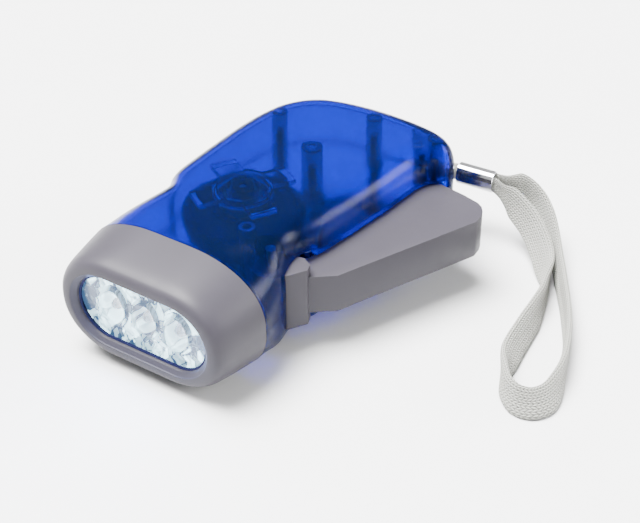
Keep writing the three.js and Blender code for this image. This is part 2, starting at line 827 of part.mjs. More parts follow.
const platePostShares = [
  [0.9325524, 0.4070066],
  [-1.0249027, 0.3201563],
];
const platePosts = [
  ...platePostShares.map(([x, y]) => new THREE.Vector2(x, y).multiplyScalar(flywheelRadius).add(rotor)),
  leftOf(second, wheelRadius + platePostRadius + rearPlatePostClearance, rearPlatePostAngle),
];

function bottomShell() {
  const lipHalf = shellLip().intersect(block(-halfWidth, halfWidth, 0, bodyLength, -overrun, -seam / 2));
  const bossTop = screwSeat + counterboreFloor;
  const bossRadius = screwHeadRadius + throughClearance + counterboreWall;
  const posts = caseScrews.flatMap(({ at, radius }) => [
    rod(radius, -halfThickness, -seam / 2, at),
    rod(bossRadius, -halfThickness, bossTop, at),
  ]);
  const bearingTop = -cavityTop + bushHeight + bushLip * 2;
  const bushBoss = rod(bushRadius + bushWall, -halfThickness, bearingTop, rotor);
  const shaftBoss = rod(clutchHubRadius, -halfThickness, bearingTop, second);
  const pivotBoss = rod(pivotBossRadius, -halfThickness, -hubHalfThickness - gap, pivot);
  const plateBosses = platePosts.map((at) => rod(platePostRadius, -halfThickness, plateLevel - seatGap, at));
  const lug = rod(strapLugRadius, -halfThickness, -strapLugGap, strapPin);
  const whole = join(
    shellHalf(-1),
    lipHalf,
    ...[...posts, bushBoss, shaftBoss, pivotBoss, ...plateBosses, lug].map(standing),
  );
  const headPocket = ({ at }) => rod(screwHeadRadius + throughClearance, -overrun, screwSeat, at);
  const shankHole = ({ at }) => rod(screwShankRadius + throughClearance, -overrun, overrun, at);
  const plateHoleFloor = plateLevel - plateScrewLength - gap;
  const plateHole = (at) => rod(screwShankRadius + pilotClearance, plateHoleFloor, overrun, at);
  return cut(
    whole,
    ...caseScrews.map(headPocket),
    ...caseScrews.map(shankHole),
    ...platePosts.map(plateHole),
    rod(bushRadius + runningClearance, -cavityTop, overrun, rotor),
    rod(shaftRadius + runningClearance, -cavityTop, overrun, second),
    rod(pivotPinRadius + runningClearance, -halfThickness + pinInset - gap, overrun, pivot),
    rod(strapPinRadius + runningClearance, -strapPinHalfLength - gap, overrun, strapPin),
    strapSlot(),
  );
}

// Screws stand head down; the plate's screws are turned over.
function screw(at, seat, tip, direction) {
  const head = seat - direction * screwHeadHeight;
  const floor = head + direction * socketDepth;
  const span = (radius, a, b, sides) => rod(radius, Math.min(a, b), Math.max(a, b), at, sides);
  const body = join(span(screwHeadRadius, head, seat), span(screwShankRadius, floor, tip));
  return cut(body, span(socketRadius, head - direction * overrun, floor, tinySides));
}

// Lever outline about the pivot: degrees to the right of +y, and the distance as a share of its reach.
const armShares = [
  [-15, 0.08],
  [100, 0.08],
  [60.8, 0.15],
  [56.6, 0.263],
  [32.3, 0.918],
  [30.6, 0.957],
  [29, 0.981],
  [27.2, 0.996],
  [25.4, 1],
  [20.5, 0.987],
  [15.5, 0.973],
  [11, 0.97],
  [9.6, 0.948],
  [12.2, 0.529],
  [17.6, 0.197],
];
const pocketShares = [
  [0, 0.28],
  [44.5, 0.285],
  [30.4, 0.912],
  [28, 0.95],
  [25.6, 0.963],
  [16, 0.938],
  [10.2, 0.932],
  [0, 0.92],
];
const hubShares = [
  [98.4, 0.094],
  [66.9, 0.1475],
  [53, 0.156],
  [34.2, 0.1437],
  [0, 0.1],
  [170, 0.06],
];
const fromShares = (shares) =>
  shares
    .map(([degrees, share]) => rightOf(pivot, share * leverReach, THREE.MathUtils.degToRad(degrees)))
    .reverse();
const sectorTop = sectorLevel + gearWidth;
const eyeRadius = hubRadius - gap;
const keyPlace = leftOf(pivot, keyPegOffset, (spokeFrom + spokeTo) / 2);

function lever() {
  const arm = slab(fromShares(armShares), -leverHalfThickness, leverHalfThickness);
  const pocketHalf = leverHalfThickness - leverWall;
  const pocket = slab(fromShares(pocketShares), -pocketHalf, pocketHalf);
  const outerHub = slab(fromShares(hubShares), -hubHalfThickness, hubHalfThickness);
  const hub = rod(hubRadius, sectorTop + gap, hubHalfThickness, pivot, roundSides);
  const sectorRoom = rod(hubRadius + gap, -overrun, sectorTop + gap, pivot, roundSides);
  const whole = cut(join(arm, outerHub, hub), pocket, sectorRoom);
  const peg = rod(keyPegRadius, sectorLevel + gap, sectorTop + wall, keyPlace);
  return cut(join(whole, peg), rod(pivotPinRadius + runningClearance, -overrun, overrun, pivot));
}

// Involute teeth: the half angle that a tooth fills at a distance from the gear's centre.
function toothHalfAngle(module, teeth, radius) {
  const pitch = (module * teeth) / 2;
  const base = pitch * Math.cos(pressureAngle);
  const involute = (r) => {
    const angle = Math.acos(Math.min(1, base / r));
    return Math.tan(angle) - angle;
  };
  return (Math.PI / (2 * teeth)) * (1 - backlashShare) + involute(pitch) - involute(Math.max(radius, base));
}

function toothPoints(at, module, teeth, angle) {
  const pitch = (module * teeth) / 2;
  const radii = [pitch - dedendumShare * module, pitch, pitch + addendumShare * module];
  const flank = (side) =>
    radii.map((r) => leftOf(at, r, angle + side * toothHalfAngle(module, teeth, r)));
  return [...flank(-1), ...flank(1).reverse()];
}

function gear(at, module, teeth, angle, low) {
  const step = (2 * Math.PI) / teeth;
  const points = Array.from({ length: teeth }, (_, i) => toothPoints(at, module, teeth, angle + i * step));
  return slab(points.flat(), low, low + gearWidth);
}

function shaftBore(at) {
  return rod(shaftRadius + runningClearance, -overrun, overrun, at);
}

function sectorGear() {
  const toothTurn = (2 * Math.PI) / sectorTeeth;
  const first = Math.ceil((sectorFrom - rotorAngle) / toothTurn + 1 / 2);
  const last = Math.floor((sectorTo - rotorAngle) / toothTurn - 1 / 2);
  const teeth = Array.from({ length: last - first + 1 }, (_, i) =>
    toothPoints(pivot, sectorModule, sectorTeeth, rotorAngle + (first + i) * toothTurn),
  ).flat();
  const root = sectorRadius - dedendumShare * sectorModule;
  const rim = arc(pivot, root - sectorBand, sectorTo, sectorFrom, smallSides);
  const ends = [leftOf(pivot, root, sectorFrom), leftOf(pivot, root, sectorTo)];
  const band = slab([ends[0], ...teeth, ends[1], ...rim], sectorLevel, sectorTop);
  const spokePoints = [
    ...arc(pivot, root - sectorBand / 2, spokeFrom, spokeTo, tinySides),
    ...arc(pivot, eyeRadius - gap, spokeTo, spokeFrom, tinySides),
  ];
  const spoke = slab(spokePoints, sectorLevel, sectorTop);
  const eye = rod(eyeRadius, sectorLevel, sectorTop, pivot);
  const keyHole = rod(keyPegRadius + seatGap, -overrun, overrun, keyPlace);
  const bore = rod(pivotPinRadius + runningClearance, -overrun, overrun, pivot);
  return cut(join(band, spoke, eye), bore, keyHole);
}

const ratchetFloor = firstWheelLevel + gearWidth - ratchetDepth;
const pawlLevel = ratchetFloor + seatGap;

function drivePinion() {
  const angle = rotorAngle + Math.PI + Math.PI / drivePinionTeeth;
  const teeth = gear(rotor, sectorModule, drivePinionTeeth, angle, sectorLevel);
  const neck = rod(clutchHubRadius, pawlLevel, sectorTop - gearWidth / 2, rotor);
  return cut(join(teeth, neck), shaftBore(rotor));
}

function firstGear() {
  const body = gear(rotor, wheelModule, wheelTeeth, secondAngle, firstWheelLevel);
  const step = (2 * Math.PI) / ratchetTeeth;
  const saw = Array.from({ length: ratchetTeeth }, (_, i) => [
    leftOf(rotor, ratchetRadius, i * step),
    leftOf(rotor, ratchetRadius + ratchetToothHeight, (i + ratchetRampShare) * step),
  ]).flat();
  return cut(body, slab(saw, ratchetFloor, overrun), shaftBore(rotor));
}

function ratchetPawls() {
  const high = pawlLevel + pawlThickness;
  const arm = (turn) => {
    const tip = turn + pawlTurn;
    const foot = turn + pawlLinkTurn;
    const blade = [
      ...arc(rotor, pawlReach, turn, tip, tinySides),
      ...arc(rotor, pawlReach - pawlWidth, tip, turn, tinySides),
    ];
    const link = [
      ...arc(rotor, pawlReach, turn, foot, 1),
      ...arc(rotor, pawlHubRadius - gap, foot, turn, 1),
    ];
    return join(slab(blade, pawlLevel, high), slab(link, pawlLevel, high));
  };
  const hub = tube(pawlHubRadius, clutchHubRadius + seatGap, pawlLevel, high, rotor);
  return join(hub, arm(0), arm(Math.PI));
}

function secondGear() {
  const wheel = gear(second, wheelModule, wheelTeeth, secondAngle + Math.PI, secondWheelLevel);
  const pinionAngle = secondAngle + Math.PI + Math.PI / wheelPinionTeeth;
  const pinion = gear(second, wheelModule, wheelPinionTeeth, pinionAngle, firstWheelLevel);
  const [low, high] = [firstWheelLevel, secondWheelLevel].map((level) => level + gearWidth / 2);
  const neck = rod(clutchHubRadius, low, high, second);
  return cut(join(wheel, pinion, neck), shaftBore(second));
}

function rotorPinion() {
  const angle = secondAngle + Math.PI / wheelPinionTeeth;
  return cut(gear(rotor, wheelModule, wheelPinionTeeth, angle, secondWheelLevel), shaftBore(rotor));
}

function gearPlate() {
  const discs = [
    { at: rotor, radius: plateEyeRadius },
    ...platePosts.map((at) => ({ at, radius: platePostRadius + plateMargin })),
  ];
  const sheet = slab(outlineRound(discs), plateLevel, plateLevel + plateThickness);
  const hole = (at) => rod(screwShankRadius + throughClearance, -overrun, overrun, at);
  const eye = rod(stackBoreRadius, -overrun, overrun, rotor);
  return cut(sheet, ...platePosts.map(hole), shaftBore(second), eye);
}

// A yoke: a disc with claws standing on its rim, up or down.
function yoke(low, direction, turn) {
  const disc = tube(yokeRadius, stackBoreRadius, low, low + yokeThickness, rotor, roundSides);
  const from = direction > 0 ? low : low + yokeThickness - clawLength;
  const claw = (i) => {
    const angle = turn + (2 * Math.PI * i) / yokeClaws;
    const ends = [angle - clawHalfAngle, angle + clawHalfAngle];
    const outer = arc(rotor, yokeRadius, ...ends, 2);
    const inner = arc(rotor, yokeRadius - yokeThickness, ...ends.reverse(), 2);
    return slab([...outer, ...inner], from, from + clawLength);
  };
  return join(disc, ...Array.from({ length: yokeClaws }, (_, i) => claw(i)));
}

function coilBobbin() {
  return turned(
    [
      [stackBoreRadius, bobbinLow],
      [bobbinRadius, bobbinLow],
      [bobbinRadius, bobbinLow + bobbinFlange],
      [coilCoreRadius, bobbinLow + bobbinFlange],
      [coilCoreRadius, bobbinHigh - bobbinFlange],
      [bobbinRadius, bobbinHigh - bobbinFlange],
      [bobbinRadius, bobbinHigh],
      [stackBoreRadius, bobbinHigh],
      [stackBoreRadius, bobbinLow],
    ],
    rotor,
  );
}

function coilWinding() {
  const low = bobbinLow + bobbinFlange + coilClearance;
  const high = bobbinHigh - bobbinFlange - coilClearance;
  return tube(coilOuterRadius, coilCoreRadius + coilClearance, low, high, rotor, roundSides);
}

function flywheel() {
  const top = flywheelLevel + flywheelThickness;
  const bore = shaftRadius + runningClearance;
  return turned(
    [
      [bore, flywheelLevel],
      [flywheelRadius - edgeChamfer, flywheelLevel],
      [flywheelRadius, flywheelLevel + edgeChamfer],
      [flywheelRadius, top - edgeChamfer],
      [flywheelRadius - edgeChamfer, top],
      [bore, top],
      [bore, flywheelLevel],
    ],
    rotor,
    wheelSides,
  );
}

function flywheelHub() {
  const top = flywheelHubLevel + flywheelHubThickness;
  return tube(flywheelHubRadius, shaftRadius + runningClearance, flywheelHubLevel, top, rotor);
}

function ringMagnet() {
  const top = flywheelLevel - gap;
  return tube(magnetOuterRadius, magnetInnerRadius, top - magnetHeight, top, rotor, wheelSides);
}

function bush(low) {
  return tube(bushRadius, shaftRadius + runningClearance, low, low + bushHeight, rotor);
}

// Torsion spring round the front screw's post, with a straight leg at each end.
function returnSpring() {
  const post = caseScrews[0].at;
  const low = screwSeat + counterboreFloor + springWire;
  const coil = Array.from({ length: springTurns * springStepsPerTurn + 1 }, (_, i) => {
    const { x, y } = leftOf(post, springMeanRadius, Math.PI / 2 + (2 * Math.PI * i) / springStepsPerTurn);
    return new THREE.Vector3(x, y, low + (springPitch * i) / springStepsPerTurn);
  });
  const leg = (end, way) => end.clone().add(new THREE.Vector3(0, way * springLeg, 0));
  const points = [leg(coil[0], 1), ...coil, leg(coil.at(-1), -1)];
  const section = new THREE.Shape();
  section.absarc(0, 0, springWire / 2, 0, 2 * Math.PI);
  const path = new THREE.CatmullRomCurve3(points, false, "centripetal");
  const settings = {
    steps: points.length,
    extrudePath: path,
    curveSegments: springSides / 2,
    bevelEnabled: false,
  };
  return solid(new THREE.ExtrudeGeometry(section, settings));
}

// A flat strap along a route, its width upright; its size depends on the distance from the nearer end.
function strapBand(route, steps, sizeAt) {
  const stations = route.map(([x, y, z]) => new THREE.Vector3(x, y, z));
  const path = new THREE.CatmullRomCurve3(stations, false, "centripetal");
  const total = path.getLength();
  const cornerShares = [
    [-1, -0.8],
    [-0.5, -1],
    [0.5, -1],
    [1, -0.8],
    [1, 0.8],
    [0.5, 1],
    [-0.5, 1],
    [-1, 0.8],
  ];
  const rings = Array.from({ length: steps + 1 }, (_, i) => {
    const share = i / steps;
    const at = path.getPointAt(share);
    const along = path.getTangentAt(share).setZ(0).normalize();
    const across = new THREE.Vector3(-along.y, along.x, 0);
    const [width, thickness] = sizeAt(Math.min(share, 1 - share) * total);
    const up = new THREE.Vector3(0, 0, 1);
    return cornerShares.map(([a, b]) =>
      at.clone().addScaledVector(across, (a * thickness) / 2).addScaledVector(up, (b * width) / 2),
    );
  });
  return loft(rings);
}

// The strap's route, chosen by hand: out of the ferrule, down to the ground, round and back beside itself.
const strapRoute = [
  [39.2, 108.45, 0],
  [43.2, 108.8, 0],
  [46.8, 111.2, -1.2],
  [50.7, 113.4, -3],
  [55.1, 113.2, -5.6],
  [59.8, 110.3, -8.4],
  [63.8, 106.1, -11],
  [68.2, 100, -13],
  [73.9, 91.3, -13.5],
  [80.5, 80.5, -13.5],
  [85.9, 70.4, -13.5],
  [90.1, 59.7, -13.5],
  [92.3, 51.2, -13.5],
  [92.3, 45.4, -13.5],
  [90, 41.9, -13.5],
  [86, 41, -13.5],
  [81.7, 43.6, -13.5],
  [78.4, 49.4, -13.5],
  [76.3, 57.4, -13.5],
  [75.1, 66, -13.5],
  [74, 75.1, -13.5],
  [72.2, 83.6, -13.5],
  [69.1, 91.6, -13.4],
  [65.3, 97.6, -12.6],
  [61, 102.2, -10.8],
  [55.6, 105.9, -8],
  [50.3, 107.3, -5],
  [46.6, 107.1, -2.2],
  [43.4, 106.85, -0.2],
  [39.36, 106.5, 0],
];
const anchorRoute = [
  [24, 100, 0],
  [24.3, 102.5, 0],
  [26, 105.2, 0],
  [29, 106.5, 0],
  [32, 106.9, 0],
  [36, 107.2, 0],
];

function strapLoop() {
  return strapBand(strapRoute, strapSteps, (fromEnd) => {
    const open = THREE.MathUtils.smoothstep(fromEnd, crimpStart, crimpEnd);
    const width = THREE.MathUtils.lerp(crimpedWidth, strapWidth, open);
    return [width, THREE.MathUtils.lerp(crimpedThickness, strapThickness, open)];
  });
}

function strapAnchor() {
  const doubled = crimpedThickness * 2 + strandGap;
  const band = strapBand(anchorRoute, anchorSteps, () => [crimpedWidth, doubled]);
  const inner = strapPinRadius + gap;
  const eye = tube(inner + crimpedThickness, inner, -crimpedWidth / 2, crimpedWidth / 2, strapPin);
  return join(band, eye);
}

// A flattened tube along x, crimped round the strap.
function ferruleTube() {
  const oval = (halfY, halfZ) =>
    Array.from({ length: roundSides }, (_, i) => {
      const angle = (2 * Math.PI * i) / roundSides;
      const along = (value, half) => Math.sign(value) * half * Math.abs(value) ** ferrulePower;
      return new THREE.Vector2(along(Math.cos(angle), halfZ), along(Math.sin(angle), halfY));
    });
  const shape = new THREE.Shape(oval(ferruleDepth / 2, ferruleHeight / 2));
  shape.holes.push(new THREE.Path(oval(ferruleDepth / 2 - ferruleWall, ferruleHeight / 2 - ferruleWall)));
  const geometry = new THREE.ExtrudeGeometry(shape, { depth: ferruleLength, bevelEnabled: false });
  return geometryOf(solid(geometry.rotateY(Math.PI / 2)));
}

const finishes = {
  greyPlastic: { color: 0xa09ea8, roughness: 0.5, metalness: 0 },
  bluePlastic: { color: 0x1450e0, roughness: 0.2, metalness: 0, transparent: true, opacity: 0.75 },
  clearPlastic: { color: 0xe6f2ff, roughness: 0.1, metalness: 0, transparent: true, opacity: 0.5 },
  mirror: { color: 0xdfe6ee, roughness: 0.1, metalness: 1 },
  board: { color: 0x1f5c3a, roughness: 0.6, metalness: 0 },
  steel: { color: 0xb8bac0, roughness: 0.35, metalness: 1 },
  darkSteel: { color: 0x3a3d45, roughness: 0.45, metalness: 1 },
  brass: { color: 0xc9a45a, roughness: 0.35, metalness: 1 },
  nylon: { color: 0xf0efe8, roughness: 0.55, metalness: 0 },
  ferrite: { color: 0x2b2b2e, roughness: 0.8, metalness: 0 },
  copper: { color: 0xb8622f, roughness: 0.4, metalness: 1 },
  chrome: { color: 0xd9dbe0, roughness: 0.1, metalness: 1 },
  redSheath: { color: 0xb02020, roughness: 0.5, metalness: 0 },
  blackSheath: { color: 0x202022, roughness: 0.5, metalness: 0 },
  braid: { color: 0xc8c8c3, roughness: 0.85, metalness: 0 },
};

const torch = new THREE.Group();
const strap = new THREE.Group();

function add(name, shape, finish, group = torch) {
  const geometry = shape.isBufferGeometry ? shape : geometryOf(shape);
  const mesh = new THREE.Mesh(geometry, new THREE.MeshStandardMaterial(finishes[finish]));
  mesh.name = name;
  group.add(mesh);
  return mesh;
}

add("bezel", bezel(), "greyPlastic");
add("front_lens", frontLens(), "clearPlastic");
add("reflector", reflector(), "mirror");
["led_left", "led_middle", "led_right"].forEach((name, i) => add(name, led(ledPlaces[i]), "clearPlastic"));
add("led_board", ledBoard(), "board");
add("lead_red", lead(1), "redSheath");
add("lead_black", lead(-1), "blackSheath");

add("top_shell", topShell(), "bluePlastic");
add("bottom_shell", bottomShell(), "bluePlastic");
caseScrews.forEach(({ at }, i) => add(`case_screw_${i + 1}`, screw(at, screwSeat, screwBite, 1), "steel"));

add("lever", lever(), "greyPlastic");
add("sector_gear", sectorGear(), "nylon");
const pinLimit = halfThickness - pinInset;
add("pivot_pin", rod(pivotPinRadius, -pinLimit, pinLimit, pivot), "steel");
add("return_spring", returnSpring(), "steel");

add("drive_pinion", drivePinion(), "nylon");
add("ratchet_pawls", ratchetPawls(), "brass");
add("first_gear", firstGear(), "nylon");
add("second_gear", secondGear(), "nylon");
const shaftTop = plateLevel + plateThickness;
add("second_shaft", rod(shaftRadius, shaftLow, shaftTop, second), "steel");
add("gear_plate", gearPlate(), "steel");
const plateScrewSeat = plateLevel + plateThickness + seatGap;
platePosts.forEach((at, i) =>
  add(`plate_screw_${i + 1}`, screw(at, plateScrewSeat, plateScrewSeat - plateScrewLength, -1), "steel"),
);

const upperYokeLevel = bobbinHigh + coilClearance;
add("lower_yoke", yoke(statorLevel, 1, 0), "darkSteel");
add("upper_yoke", yoke(upperYokeLevel, -1, Math.PI / yokeClaws), "darkSteel");
add("coil_bobbin", coilBobbin(), "nylon");
add("coil_winding", coilWinding(), "copper");
add("rotor_shaft", rod(shaftRadius, shaftLow, cavityTop - gap, rotor), "steel");
add("rotor_pinion", rotorPinion(), "brass");
add("ring_magnet", ringMagnet(), "ferrite");
add("flywheel", flywheel(), "darkSteel");
add("flywheel_hub", flywheelHub(), "brass");
add("rotor_bush_top", bush(cavityTop - bushHeight - bushLip / 2), "brass");
add("rotor_bush_bottom", bush(-cavityTop + bushLip), "brass");

add("strap_pin", rod(strapPinRadius, -strapPinHalfLength, strapPinHalfLength, strapPin), "steel");
add("strap_anchor", strapAnchor(), "braid", strap);
const ferrule = add("ferrule", ferruleTube(), "chrome", strap);
ferrule.position.set(halfWidth + ferruleOutset, bodyLength + ferruleTrail, 0);
ferrule.rotation.z = ferruleTurn;
add("strap_loop", strapLoop(), "braid", strap);

// The finished torch stands on its lower face, centred on its own box; the strap hangs on to it.
const box = new THREE.Box3().setFromObject(torch);
const centre = box.getCenter(new THREE.Vector3());
torch.add(strap);
torch.position.set(-centre.x, -centre.y, -box.min.z);

export default new THREE.Group().add(torch);
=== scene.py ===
"""Looks of a hand-press dynamo torch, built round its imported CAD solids.

Pieces are modelled in millimetres in the torch's own axes (x to the lever, y from the lens to the tail,
z from the plane where the shells part), and settled into the row frame, in metres, when they are finished.
Sizes in finishes and in the studio are in metres.
"""

import logging
import math
from dataclasses import dataclass, field
from enum import Enum
from typing import Callable, Iterable, Protocol, Sequence

import bpy
from mathutils import Matrix, Vector


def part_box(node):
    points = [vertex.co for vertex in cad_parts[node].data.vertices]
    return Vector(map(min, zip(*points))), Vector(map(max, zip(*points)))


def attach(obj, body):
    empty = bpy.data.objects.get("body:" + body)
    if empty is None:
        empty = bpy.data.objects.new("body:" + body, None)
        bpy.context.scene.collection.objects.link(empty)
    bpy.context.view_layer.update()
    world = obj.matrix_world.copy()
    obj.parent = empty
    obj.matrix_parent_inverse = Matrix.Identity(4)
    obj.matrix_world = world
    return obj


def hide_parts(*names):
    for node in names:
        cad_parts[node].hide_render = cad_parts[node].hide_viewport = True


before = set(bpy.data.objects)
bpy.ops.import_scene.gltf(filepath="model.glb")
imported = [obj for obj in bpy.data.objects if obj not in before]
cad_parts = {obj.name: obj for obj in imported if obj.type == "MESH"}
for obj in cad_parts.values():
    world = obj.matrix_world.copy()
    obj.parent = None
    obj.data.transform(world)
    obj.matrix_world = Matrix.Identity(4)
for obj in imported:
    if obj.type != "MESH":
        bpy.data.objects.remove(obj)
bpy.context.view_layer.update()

LOG = logging.getLogger("torch")
MM = 0.001
Colour = tuple[float, float, float]
Flat = tuple[float, float]
Place = tuple[float, float, float]
Ring = list[Vector]
Stops = tuple[Flat, ...]
Piece = bpy.types.Object
Material = bpy.types.Material
WHITE: Colour = (1.0, 1.0, 1.0)


class Side(Enum):
    """Which half of the case a piece belongs to."""

    TOP = 1
    BOTTOM = -1


class Cut(Enum):
    """How a tool changes the piece that it is used on."""

    TAKE_AWAY = "DIFFERENCE"
    ADD = "UNION"
    KEEP = "INTERSECT"


@dataclass(frozen=True)
class Layout:
    """Axes and bores that several pieces share, in the torch's own millimetres."""

    pivot: Flat = (20.1, 28.7)
    rotor: Flat = (-1.3806, 46.6606)
    second: Flat = (-5.1853, 60.8597)
    strap_pin: Flat = (24.0, 97.8)
    led_pitch: float = 10.2
    pivot_bore: float = 1.56
    shaft_bore: float = 1.06
    bore_sides: int = 32
    through: float = 20.0

    @property
    def leds(self) -> tuple[float, ...]:
        """The place of each LED's axis across the torch."""
        return -self.led_pitch, 0.0, self.led_pitch


LAYOUT = Layout()


def torch_place() -> Matrix:
    """Where the torch's own axes lie in the row frame, read from the pivot pin that the CAD placed.

    Returns:
        The matrix from the torch's millimetres to the row frame's metres.
    """
    low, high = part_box("pivot_pin")
    x, y = LAYOUT.pivot
    return Matrix.Translation((low + high) / 2 - Vector((x * MM, y * MM, 0))) @ Matrix.Scale(MM, 4)


# Shader maths


class Wire:
    """A shader value that Python's operators build Math nodes from."""

    def __init__(self, desk: "Desk", socket: bpy.types.NodeSocket) -> None:
        """Wraps one output socket of a desk's material.

        Args:
            desk: The material's node desk.
            socket: The output that carries the value.
        """
        self.desk = desk
        self.socket = socket

    def _maths(self, operation: str, *values: "Wire | float") -> "Wire":
        """Adds one Math node.

        Args:
            operation: Blender's name of the operation.
            values: The node's inputs, in order.

        Returns:
            The node's result.
        """
        inputs = dict(enumerate(values))
        return self.desk.wire("ShaderNodeMath", {"operation": operation}, inputs)

    def __add__(self, other: "Wire | float") -> "Wire":
        """The sum."""
        return self._maths("ADD", self, other)

    __radd__ = __add__

    def __sub__(self, other: "Wire | float") -> "Wire":
        """The difference."""
        return self._maths("SUBTRACT", self, other)

    def __rsub__(self, other: float) -> "Wire":
        """The difference, the other way round."""
        return self._maths("SUBTRACT", other, self)

    def __mul__(self, other: "Wire | float") -> "Wire":
        """The product."""
        return self._maths("MULTIPLY", self, other)

    __rmul__ = __mul__

    def __truediv__(self, other: "Wire | float") -> "Wire":
        """The quotient."""
        return self._maths("DIVIDE", self, other)

    def __pow__(self, other: float) -> "Wire":
        """The power."""
        return self._maths("POWER", self, other)

    def sine(self) -> "Wire":
        """The sine, in radians."""
        return self._maths("SINE", self)

    def size(self) -> "Wire":
        """The value without its sign."""
        return self._maths("ABSOLUTE", self)

    def sign(self) -> "Wire":
        """1 for a positive value and -1 for a negative one."""
        return self._maths("SIGN", self)

    def rest(self) -> "Wire":
        """The part after the decimal point."""
        return self._maths("FRACT", self)

    def clipped(self) -> "Wire":
        """The value held between 0 and 1."""
        return self.desk.wire("ShaderNodeClamp", {}, {0: self})

    def about(self, middle: float, spread: float) -> "Wire":
        """A value from 0 to 1 laid evenly about a middle, as wide as the spread."""
        return self * spread + (middle - spread / 2)


class Desk:
    """A material being made: one Principled shader and the nodes that feed it."""

    def __init__(self, name: str) -> None:
        """Starts an empty material.

        Args:
            name: The material's name.
        """
        self.material = bpy.data.materials.new(name)
        self.material.use_nodes = True
        self.tree = self.material.node_tree
        self.tree.nodes.clear()
        self.output = self.tree.nodes.new("ShaderNodeOutputMaterial")
        self.shader = self.tree.nodes.new("ShaderNodeBsdfPrincipled")
        self.tree.links.new(self.shader.outputs[0], self.output.inputs["Surface"])

    def node(self, kind: str, settings: dict[str, object], inputs: dict) -> bpy.types.Node:
        """Adds a node.

        Args:
            kind: The node's type.
            settings: Properties set before anything else; "stops" fills a colour ramp.
            inputs: Values or wires by socket name or index.

        Returns:
            The node.
        """
        made = self.tree.nodes.new(kind)
        for name, value in settings.items():
            if name == "stops":
                self._fill_ramp(made.color_ramp, value)
            else:
                setattr(made, name, value)
        for key, value in inputs.items():
            self.feed(made.inputs[key], value)
        return made

    def wire(self, kind: str, settings: dict[str, object], inputs: dict, out: int = 0) -> Wire:
        """Adds a node and wraps one of its outputs.

        Args:
            kind: The node's type.
            settings: Properties set first.
            inputs: Values or wires by socket name or index.
            out: Which output to wrap.

        Returns:
            The wrapped output.
        """
        return Wire(self, self.node(kind, settings, inputs).outputs[out])

    def feed(self, socket: bpy.types.NodeSocket, value: object) -> None:
        """Links a wire to a socket, or sets the socket's own value.

        Args:
            socket: The input.
            value: A wire, a number, or a colour or vector as a tuple.
        """
        if isinstance(value, Wire):
            self.tree.links.new(value.socket, socket)
        elif isinstance(value, tuple) and len(value) == 3 and socket.type == "RGBA":
            socket.default_value = (*value, 1.0)
        else:
            socket.default_value = value

    @staticmethod
    def _fill_ramp(ramp: bpy.types.ColorRamp, stops: Stops) -> None:
        """Gives a colour ramp its grey stops.

        Args:
            ramp: The ramp.
            stops: Place and brightness of each stop, in order.
        """
        while len(ramp.elements) < len(stops):
            ramp.elements.new(1.0)
        for element, (place, grey) in zip(ramp.elements, stops):
            element.position = place
            element.color = (grey, grey, grey, 1.0)

    def place(self) -> Wire:
        """The point on the piece, in metres in the row frame."""
        return self.wire("ShaderNodeTexCoord", {}, {}, 3)

    def split(self, vector: Wire) -> list[Wire]:
        """The vector's three parts."""
        return [Wire(self, part) for part in self.node("ShaderNodeSeparateXYZ", {}, {0: vector}).outputs]

    def scaled(self, vector: Wire, scale: Place) -> Wire:
        """The coordinate, scaled by a factor along each axis."""
        return self.wire("ShaderNodeMapping", {}, {"Vector": vector, "Scale": scale})

    def noise(self, vector: Wire, scale: float, detail: float = 2.0, out: int = 0) -> Wire:
        """Smooth noise between 0 and 1.

        Args:
            vector: Where it is read.
            scale: Features per metre.
            detail: How many finer layers it has.
            out: 0 for one value, 1 for three values as a colour.

        Returns:
            The noise.
        """
        inputs = {"Vector": vector, "Scale": scale, "Detail": detail}
        return self.wire("ShaderNodeTexNoise", {}, inputs, out)

    def cells(self, vector: Wire, scale: float, feature: str = "F1", out: int = 0) -> Wire:
        """Voronoi cells.

        Args:
            vector: Where they are read.
            scale: Cells per metre.
            feature: Which distance is measured.
            out: 0 for the distance, 1 for the cell's colour.

        Returns:
            The distance or the colour.
        """
        inputs = {"Vector": vector, "Scale": scale}
        return self.wire("ShaderNodeTexVoronoi", {"feature": feature}, inputs, out)

    def blend(self, share: Wire | float, low: Colour | Wire, high: Colour | Wire) -> Wire:
        """A colour between two others.

        Args:
            share: 0 for the first, 1 for the second.
            low: The first colour.
            high: The second colour.

        Returns:
            The colour.
        """
        made = self.tree.nodes.new("ShaderNodeMix")
        made.data_type = "RGBA"
        colours = [socket for socket in made.inputs if socket.type == "RGBA"]
        for socket, value in zip((made.inputs[0], *colours), (share, low, high)):
            self.feed(socket, value)
        return Wire(self, next(socket for socket in made.outputs if socket.type == "RGBA"))

    def ramp(self, value: Wire, stops: Stops) -> Wire:
        """Runs a value through a grey ramp.

        Args:
            value: The value.
            stops: Place and brightness of each stop.

        Returns:
            The ramp's brightness.
        """
        return self.wire("ShaderNodeValToRGB", {"stops": stops}, {0: value})

    def bump(self, height: Wire, distance: float, strength: float = 1.0) -> None:
        """Roughens the surface.

        Args:
            height: Height between 0 and 1.
            distance: What a height of 1 stands for, in metres.
            strength: How much of it shows.
        """
        settings = {"Height": height, "Distance": distance, "Strength": strength}
        self.feed(self.shader.inputs["Normal"], self.wire("ShaderNodeBump", {}, settings))

    def fill(self, passed: Colour, density: float) -> None:
        """Lets the inside of the piece darken the light that goes through it.

        Args:
            passed: The colour that gets through best.
            density: How strongly the rest is held back, per metre.
        """
        inside = self.node("ShaderNodeVolumeAbsorption", {}, {"Color": passed, "Density": density})
        self.tree.links.new(inside.outputs[0], self.output.inputs["Volume"])

    def dress(self, **inputs: object) -> Material:
        """Sets the shader's sockets and hands over the material.

        Args:
            inputs: Values or wires by socket name, with _ for a space.

        Returns:
            The material.
        """
        for name, value in inputs.items():
            self.feed(self.shader.inputs[name.replace("_", " ")], value)
        return self.material


